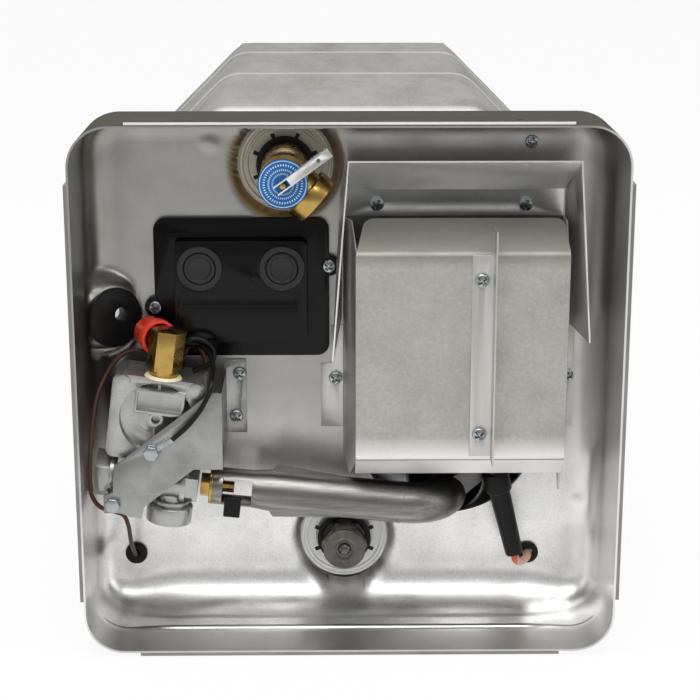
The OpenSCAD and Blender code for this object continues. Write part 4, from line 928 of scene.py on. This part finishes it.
def collars():
    """Grey washers round the two buttons, on the cover's moulded collars."""
    profile = [(COLLAR_INNER, COLLAR_BACK), (COLLAR_INNER, COLLAR_FRONT - COLLAR_INNER_EDGE),
               (COLLAR_INNER + COLLAR_INNER_EDGE, COLLAR_FRONT),
               (COLLAR_OUTER - COLLAR_OUTER_EDGE, COLLAR_FRONT),
               (COLLAR_OUTER, COLLAR_FRONT - COLLAR_OUTER_EDGE), (COLLAR_OUTER, COLLAR_BACK)]
    for side, centre in zip(("left", "right"), BUTTONS):
        ring = dress(turned("button_collar_" + side, centre, profile), "button")


LIP_PROFILE = ((0, -0.4), (0, 0.5), (0.3, 0.8), (0.9, 0.8), (1.6, -0.2))


def flue_lip():
    """Rolled edge of the panel's large hole."""
    profile = [(FLUE_RADIUS + d, f) for d, f in LIP_PROFILE]
    ring = dress(turned("flue_hole_lip", FLUE_AT, profile, sides=128), "pan")


# Screws with a cross recess, one per CAD solid.

# Shares of the head's radius.
CROSS_ARM, CROSS_HALF, CROSS_DEPTH = 0.62, 0.15, 0.5
CROSS_SLOPE, CROSS_END = 0.12, 0.15


def cross_depth(x, y, r):
    """How deep a cross recess is at a point of a head of radius r."""
    across = (CROSS_HALF * r - min(abs(x), abs(y))) / (CROSS_SLOPE * r)
    along = (CROSS_ARM * r - math.hypot(x, y)) / (CROSS_END * r)
    return CROSS_DEPTH * r * max(0.0, min(1.0, min(across, along) + 0.5))


HEAD_HEIGHT = 2.6
HEAD_RINGS, HEAD_SIDES = 14, 48
HEAD_EDGE, HEAD_SAG, HEAD_SHOULDER = 0.86, 0.32, 0.76
FIRST_TURN, TURN_STEP = 0.5, 1.7


def dome(t):
    """Share of a head's height at a share t of its radius."""
    if t < HEAD_EDGE:
        return 1 - HEAD_SAG * t * t
    return HEAD_SHOULDER * math.sqrt(max(0, 1 - ((t - HEAD_EDGE) / (1 - HEAD_EDGE)) ** 2))


def pan_head(centre, radius, height, turn):
    """Domed head, centre on its seat, in row-frame metres."""
    points = []
    for k in range(HEAD_RINGS + 1):
        t = k / HEAD_RINGS
        for i in range(HEAD_SIDES):
            x, y = spun(radius * t, 0, 2 * math.pi * i / HEAD_SIDES)
            f = height * dome(t) - cross_depth(x, y, radius)
            right, up = spun(x, y, turn)
            points.append(centre + Vector((right, -f, up)))
    seat = tuple(HEAD_RINGS * HEAD_SIDES + i for i in range(HEAD_SIDES))
    return points, grid_faces(HEAD_RINGS + 1, HEAD_SIDES, True) + [seat]


def screws(node, name, look):
    heads = []
    for k, (low, high) in enumerate(solids(node)):
        height = HEAD_HEIGHT * MM
        seat = Vector(((low.x + high.x) / 2, low.y + height, (low.z + high.z) / 2))
        heads.append(pan_head(seat, (high.x - low.x) / 2, height, FIRST_TURN + TURN_STEP * k))
    return dress(from_faces(name, *gathered(heads), 40), look, "heater", node)


# Flue cover: one sheet with soft folds.

COVER_LEFT, COVER_RIGHT = 3.5, 127.9
COVER_PROFILE = ((-58, 40), (-41.7, 60), (82.3, 60), (99, 36))
COVER_FOLD = 5.0
LIP_TAPER_LEFT, LIP_TAPER_RIGHT, LIP_CORNER = 5.6, 1.5, 6
LIP_ROWS = (0.25, 0.5, 0.7, 0.8, 0.88, 0.94, 0.98, 1)
COVER_COLUMNS = 16
COVER_SHEET, COVER_EDGE = 1.0, 0.25


def folded(profile, radius, steps=6):
    """A polyline with its inner corners turned into arcs."""
    line = [Vector(profile[0])]
    for a, p, b in zip(profile, profile[1:], profile[2:]):
        a, p, b = Vector(a), Vector(p), Vector(b)
        u, v = (a - p).normalized(), (b - p).normalized()
        cut = radius * math.tan((math.pi - u.angle(v)) / 2)
        line += rounded_corner(p + u * cut, p, p + v * cut, steps)
    line.append(Vector(profile[-1]))
    return line


def flue_cover():
    line = folded(COVER_PROFILE, COVER_FOLD)
    last, top = Vector(COVER_PROFILE[-1]), Vector(COVER_PROFILE[-2])
    line = line[:-1] + [line[-2].lerp(last, t) for t in LIP_ROWS]
    points = []
    for p in line:
        up = max(0, (p - top).dot((last - top).normalized()))
        share = up / (last - top).length if p.x > top.x else 0
        bite = max(0, LIP_CORNER - (last - p).length)
        corner = LIP_CORNER - math.sqrt(LIP_CORNER ** 2 - bite ** 2)
        left = COVER_LEFT + LIP_TAPER_LEFT * share + corner
        right = COVER_RIGHT - LIP_TAPER_RIGHT * share - corner
        points += [at(left + (right - left) * i / COVER_COLUMNS, *p) for i in range(COVER_COLUMNS + 1)]
    obj = from_faces("folded_flue_cover", points, grid_faces(len(line), COVER_COLUMNS + 1), 40)
    if obj.data.polygons[len(obj.data.polygons) // 2].normal.y > 0:
        obj.data.flip_normals()
    thickened(obj, COVER_SHEET, -1)
    edge = obj.modifiers.new("edges", "BEVEL")
    edge.width = COVER_EDGE * MM
    edge.limit_method = "ANGLE"
    edge.angle_limit = math.radians(50)
    settled(obj, 40)
    return dress(obj, "flue", "heater", "flue_cover")


# Leads: the routes of part.scad, right, up and forward from the panel's centre in millimetres.

LEADS = {
    "brown_lead_long": ("brown_leads", "brown_wire", 1.35, (
        (-118.4, 10, 18), (-127.5, 13.8, 18), (-137, 12, 19), (-144.8, 4, 22.5), (-149.6, -4.4, 28),
        (-152.5, -13, 34), (-154.5, -28.6, 43), (-155.2, -45, 51), (-155.5, -58, 52), (-154.8, -68, 51),
        (-150.5, -76, 48), (-143, -80, 45), (-137.5, -84, 41), (-135.4, -93, 36), (-135.5, -108, 24),
        (-135.2, -119, 12), (-135, -124.5, 4), (-135, -124.5, -4))),
    "brown_lead_short": ("brown_leads", "brown_wire", 1.35, (
        (-100.3, 9.5, 11.7), (-98, 14, 11.3), (-93.5, 15.5, 11), (-90, 11.5, 11.3), (-88.2, 5, 11),
        (-88, -3, 10.5), (-89, -10, 10))),
    "black_lead_loop": ("black_leads", "black_wire", 1.5, (
        (-104, 14, 20), (-101.3, 19.8, 25), (-96, 23, 27), (-90.5, 23.5, 27), (-85, 21, 27),
        (-81.6, 15.5, 26), (-82, 10, 26), (-87, 6, 26), (-94.5, 3.2, 26))),
    "black_lead_ground": ("black_leads", "black_wire", 1.5, (
        (-109.5, 14, 16), (-104, 16.5, 17.5), (-97, 18, 20), (-89.1, 17.6, 23), (-83.5, 14.5, 32),
        (-81, 10, 44), (-81.2, 4, 56), (-83.5, -2.5, 59.5), (-88, -11, 60.5), (-95.7, -21.1, 59.5),
        (-105, -30.1, 57.4))),
    "spark_lead_run": ("spark_lead", "spark_wire", 2.5, (
        (103.9, -118.9, 19.8), (104.7, -122.1, 19.8), (107, -124.8, 17.5), (111, -125.8, 11.5),
        (113.6, -125.4, 5.5), (114, -125.1, 0), (114, -125.1, -5))),
}
LEAD_STEPS = 8


def route(points):
    """A Catmull-Rom line through the points."""
    line = []
    for i in range(len(points) - 1):
        p0, p1, p2, p3 = (points[max(0, min(len(points) - 1, i + k))] for k in (-1, 0, 1, 2))
        for k in range(LEAD_STEPS):
            t = k / LEAD_STEPS
            line.append((p1 * 2 + (p2 - p0) * t + (p0 * 2 - p1 * 5 + p2 * 4 - p3) * t * t
                         + (p1 * 3 - p0 - p2 * 3 + p3) * t ** 3) / 2)
    return line + [points[-1]]


def lead(name, node, look, radius, points):
    line = [at(*p) for p in route([Vector(p) for p in points])]
    curve = bpy.data.curves.new(name, "CURVE")
    curve.dimensions = "3D"
    curve.bevel_depth = radius * MM
    curve.bevel_resolution = 4
    curve.use_fill_caps = True
    spline = curve.splines.new("POLY")
    spline.points.add(len(line) - 1)
    for point, p in zip(spline.points, line):
        point.co = (*p, 1)
    obj = dress(made(name, curve), look, "heater", node)
    return obj


for lead_name, (lead_node, lead_look, lead_radius, lead_points) in LEADS.items():
    lead(lead_name, lead_node, lead_look, lead_radius, lead_points)


# Every CAD node: rounded copy where it shows, finish only where it is hidden.

ROUNDED = {
    "flange_top": ("flange_painted_shade", 0.5), "flange_bottom": ("flange", 0.5), "flange_left": ("flange", 0.5),
    "flange_right": ("flange", 0.5), "rear_cover": ("jacket", 1.0),
    "drain_ring": ("rubber", 0.3), "relief_ring": ("rubber", 0.3), "relief_body": ("brass", 0.6),
    "relief_disc": ("label", 0.4), "relief_stem": ("brass", 0.2), "relief_lever": ("lever", 0.2),
    "reset_cover": ("black", 1.1), "button_left": ("button", 0.6), "button_right": ("button", 0.6),
    "line_grommet": ("rubber", 0.9), "wire_grommet": ("rubber", 0.8), "spark_grommet": ("rubber", 0.8),
    "valve_body": ("casting", 0.8), "valve_plug": ("casting", 0.6), "valve_cap": ("casting", 0.8),
    "valve_coil": ("black", 0.6), "inlet_elbow": ("brass", 0.4), "inlet_sealant": ("sealant", 0.4),
    "inlet_cap": ("red", 0.8), "valve_bracket": ("bracket", 0.25), "valve_screws": ("zinc", 0.25),
    "ring_terminal": ("zinc", 0.2), "orifice": ("brass", 0.3), "burner_tube": ("burner", 0.25),
    "air_shutter": ("black", 0.6), "flue_visor": ("visor", 0.25), "flue_wall_left": ("fin", 0.25),
    "flue_wall_right": ("fin", 0.25), "cover_fin": ("fin", 0.25), "electrode": ("ceramic", 0.4),
    "electrode_boot": ("rubber", 0.8),
}
FINISHED = {
    "insulation": "foam", "tank": "steel", "flue_tube": "flue_pipe", "flue_baffle": "flue_pipe",
    "cold_inlet": "steel", "hot_outlet": "steel", "dip_tube": "natural", "anode_rod": "steel",
    "relief_pin": "zinc", "relief_probe": "brass", "thermostat": "brown", "limit_switch": "brown",
}

pan()
jacket()
flue_cover()
port_seal("drain_seal", "white_seal", DRAIN_AT, DRAIN_SOCKET, DRAIN_RADIUS - SEAL_ROOM)
port_seal("relief_seal", "cream_seal", RELIEF_AT, RELIEF_SOCKET, RELIEF_RADIUS - SEAL_ROOM)
drain_plug()
collars()
flue_lip()
screws("panel_screws", "cross_panel_screws", "zinc")
screws("fin_screws", "cross_fin_screws", "zinc")
for node_name, (look_name, edge_width) in ROUNDED.items():
    softened(node_name, look_name, edge_width)
for node_name, look_name in FINISHED.items():
    NODES[node_name].data.materials.clear()
    NODES[node_name].data.materials.append(LOOKS[look_name].material)


# Stage: pale floor, white surround for camera and mirror rays, soft light.

def ray_kind(tree, *names):
    """1 for rays of any of the kinds named."""
    path = tree.nodes.new("ShaderNodeLightPath")
    seen = path.outputs["Is %s Ray" % names[0]]
    for name in names[1:]:
        either = tree.nodes.new("ShaderNodeMath")
        either.operation = "MAXIMUM"
        tree.links.new(seen, either.inputs[0])
        tree.links.new(path.outputs["Is %s Ray" % name], either.inputs[1])
        seen = either.outputs[0]
    return seen


FLOOR_SIZE = 6.0
FLOOR_BELOW = 1
floor_mesh = bpy.data.meshes.new("floor")
corners = [(x * FLOOR_SIZE, y * FLOOR_SIZE, 0) for x, y in ((-1, -1), (1, -1), (1, 1), (-1, 1))]
floor_mesh.from_pydata(corners, [], [(0, 1, 2, 3)])
floor = made("floor", floor_mesh)
floor.location.z = cad_box[0].z - FLOOR_BELOW * MM
floor_look = Look("floor", (0.8, 0.8, 0.8), 0.9)
tree = floor_look.material.node_tree
glow = tree.nodes.new("ShaderNodeEmission")
glow.inputs["Color"].default_value = (1, 1, 1, 1)
mix = tree.nodes.new("ShaderNodeMixShader")
TABLE_NEAR, TABLE_FAR = 0.45, 1.2
FLOOR_WHITE, FLOOR_FAR = 0.92, 0.34
lit = floor_look.ramp(floor_look.axis("Y"), -TABLE_FAR, -TABLE_NEAR, FLOOR_FAR, FLOOR_WHITE)
mirrored = floor_look.math("MULTIPLY", ray_kind(tree, "Glossy", "Transmission"), lit)
seen = floor_look.math("MULTIPLY", ray_kind(tree, "Camera"), FLOOR_WHITE)
share = floor_look.math("MAXIMUM", seen, mirrored)
tree.links.new(share, mix.inputs[0])
tree.links.new(floor_look.shader.outputs[0], mix.inputs[1])
tree.links.new(glow.outputs[0], mix.inputs[2])
tree.links.new(mix.outputs[0], tree.nodes["Material Output"].inputs[0])
floor.data.materials.append(floor_look.material)

world = bpy.data.worlds.new("studio")
bpy.context.scene.world = world
world.use_nodes = True
sky = world.node_tree
AMBIENT = 0.55
BEHIND, IN_FRONT, OVERHEAD = 0.8, 0.38, 0.9
FRONT_TO_BACK, SIDE_TO_TOP = (-0.5, 0.3), (0.35, 0.8)
backdrop = sky.nodes["Background"]
backdrop.inputs["Color"].default_value = (1, 1, 1, 1)
toward = sky.nodes.new("ShaderNodeSeparateXYZ")
sky.links.new(sky.nodes.new("ShaderNodeTexCoord").outputs["Generated"], toward.inputs[0])


def blend(fac, low, high, a, b):
    """Maps fac from low..high to a..b; a and b are numbers or sockets."""
    node = sky.nodes.new("ShaderNodeMapRange")
    for name, value in (("Value", fac), ("From Min", low), ("From Max", high), ("To Min", a), ("To Max", b)):
        if isinstance(value, (int, float)):
            node.inputs[name].default_value = value
        else:
            sky.links.new(value, node.inputs[name])
    return node.outputs["Result"]


level = blend(toward.outputs["Y"], *FRONT_TO_BACK, IN_FRONT, BEHIND)
level = blend(toward.outputs["Z"], *SIDE_TO_TOP, level, OVERHEAD)
level = blend(ray_kind(sky, "Glossy", "Transmission"), 0, 1, AMBIENT, level)
level = blend(ray_kind(sky, "Camera"), 0, 1, level, 1.0)
sky.links.new(level, backdrop.inputs["Strength"])


def softbox(name, place, target, size, power):
    data = bpy.data.lights.new(name, "AREA")
    data.shape = "RECTANGLE"
    data.size, data.size_y = size
    data.energy = power
    obj = made(name, data)
    obj.location = place
    obj.rotation_euler = (Vector(target) - Vector(place)).to_track_quat("-Z", "Y").to_euler()


MIDDLE = (0, -0.1, 0.16)
softbox("key", (0, -0.95, 1.65), MIDDLE, (1.9, 1.1), 26)
softbox("right", (1.5, -0.7, 0.7), MIDDLE, (0.9, 1.2), 5)
softbox("left", (-1.6, -0.5, 0.8), MIDDLE, (0.9, 1.2), 6)
softbox("rear", (0, 1.5, 1.4), MIDDLE, (1.4, 0.8), 4)
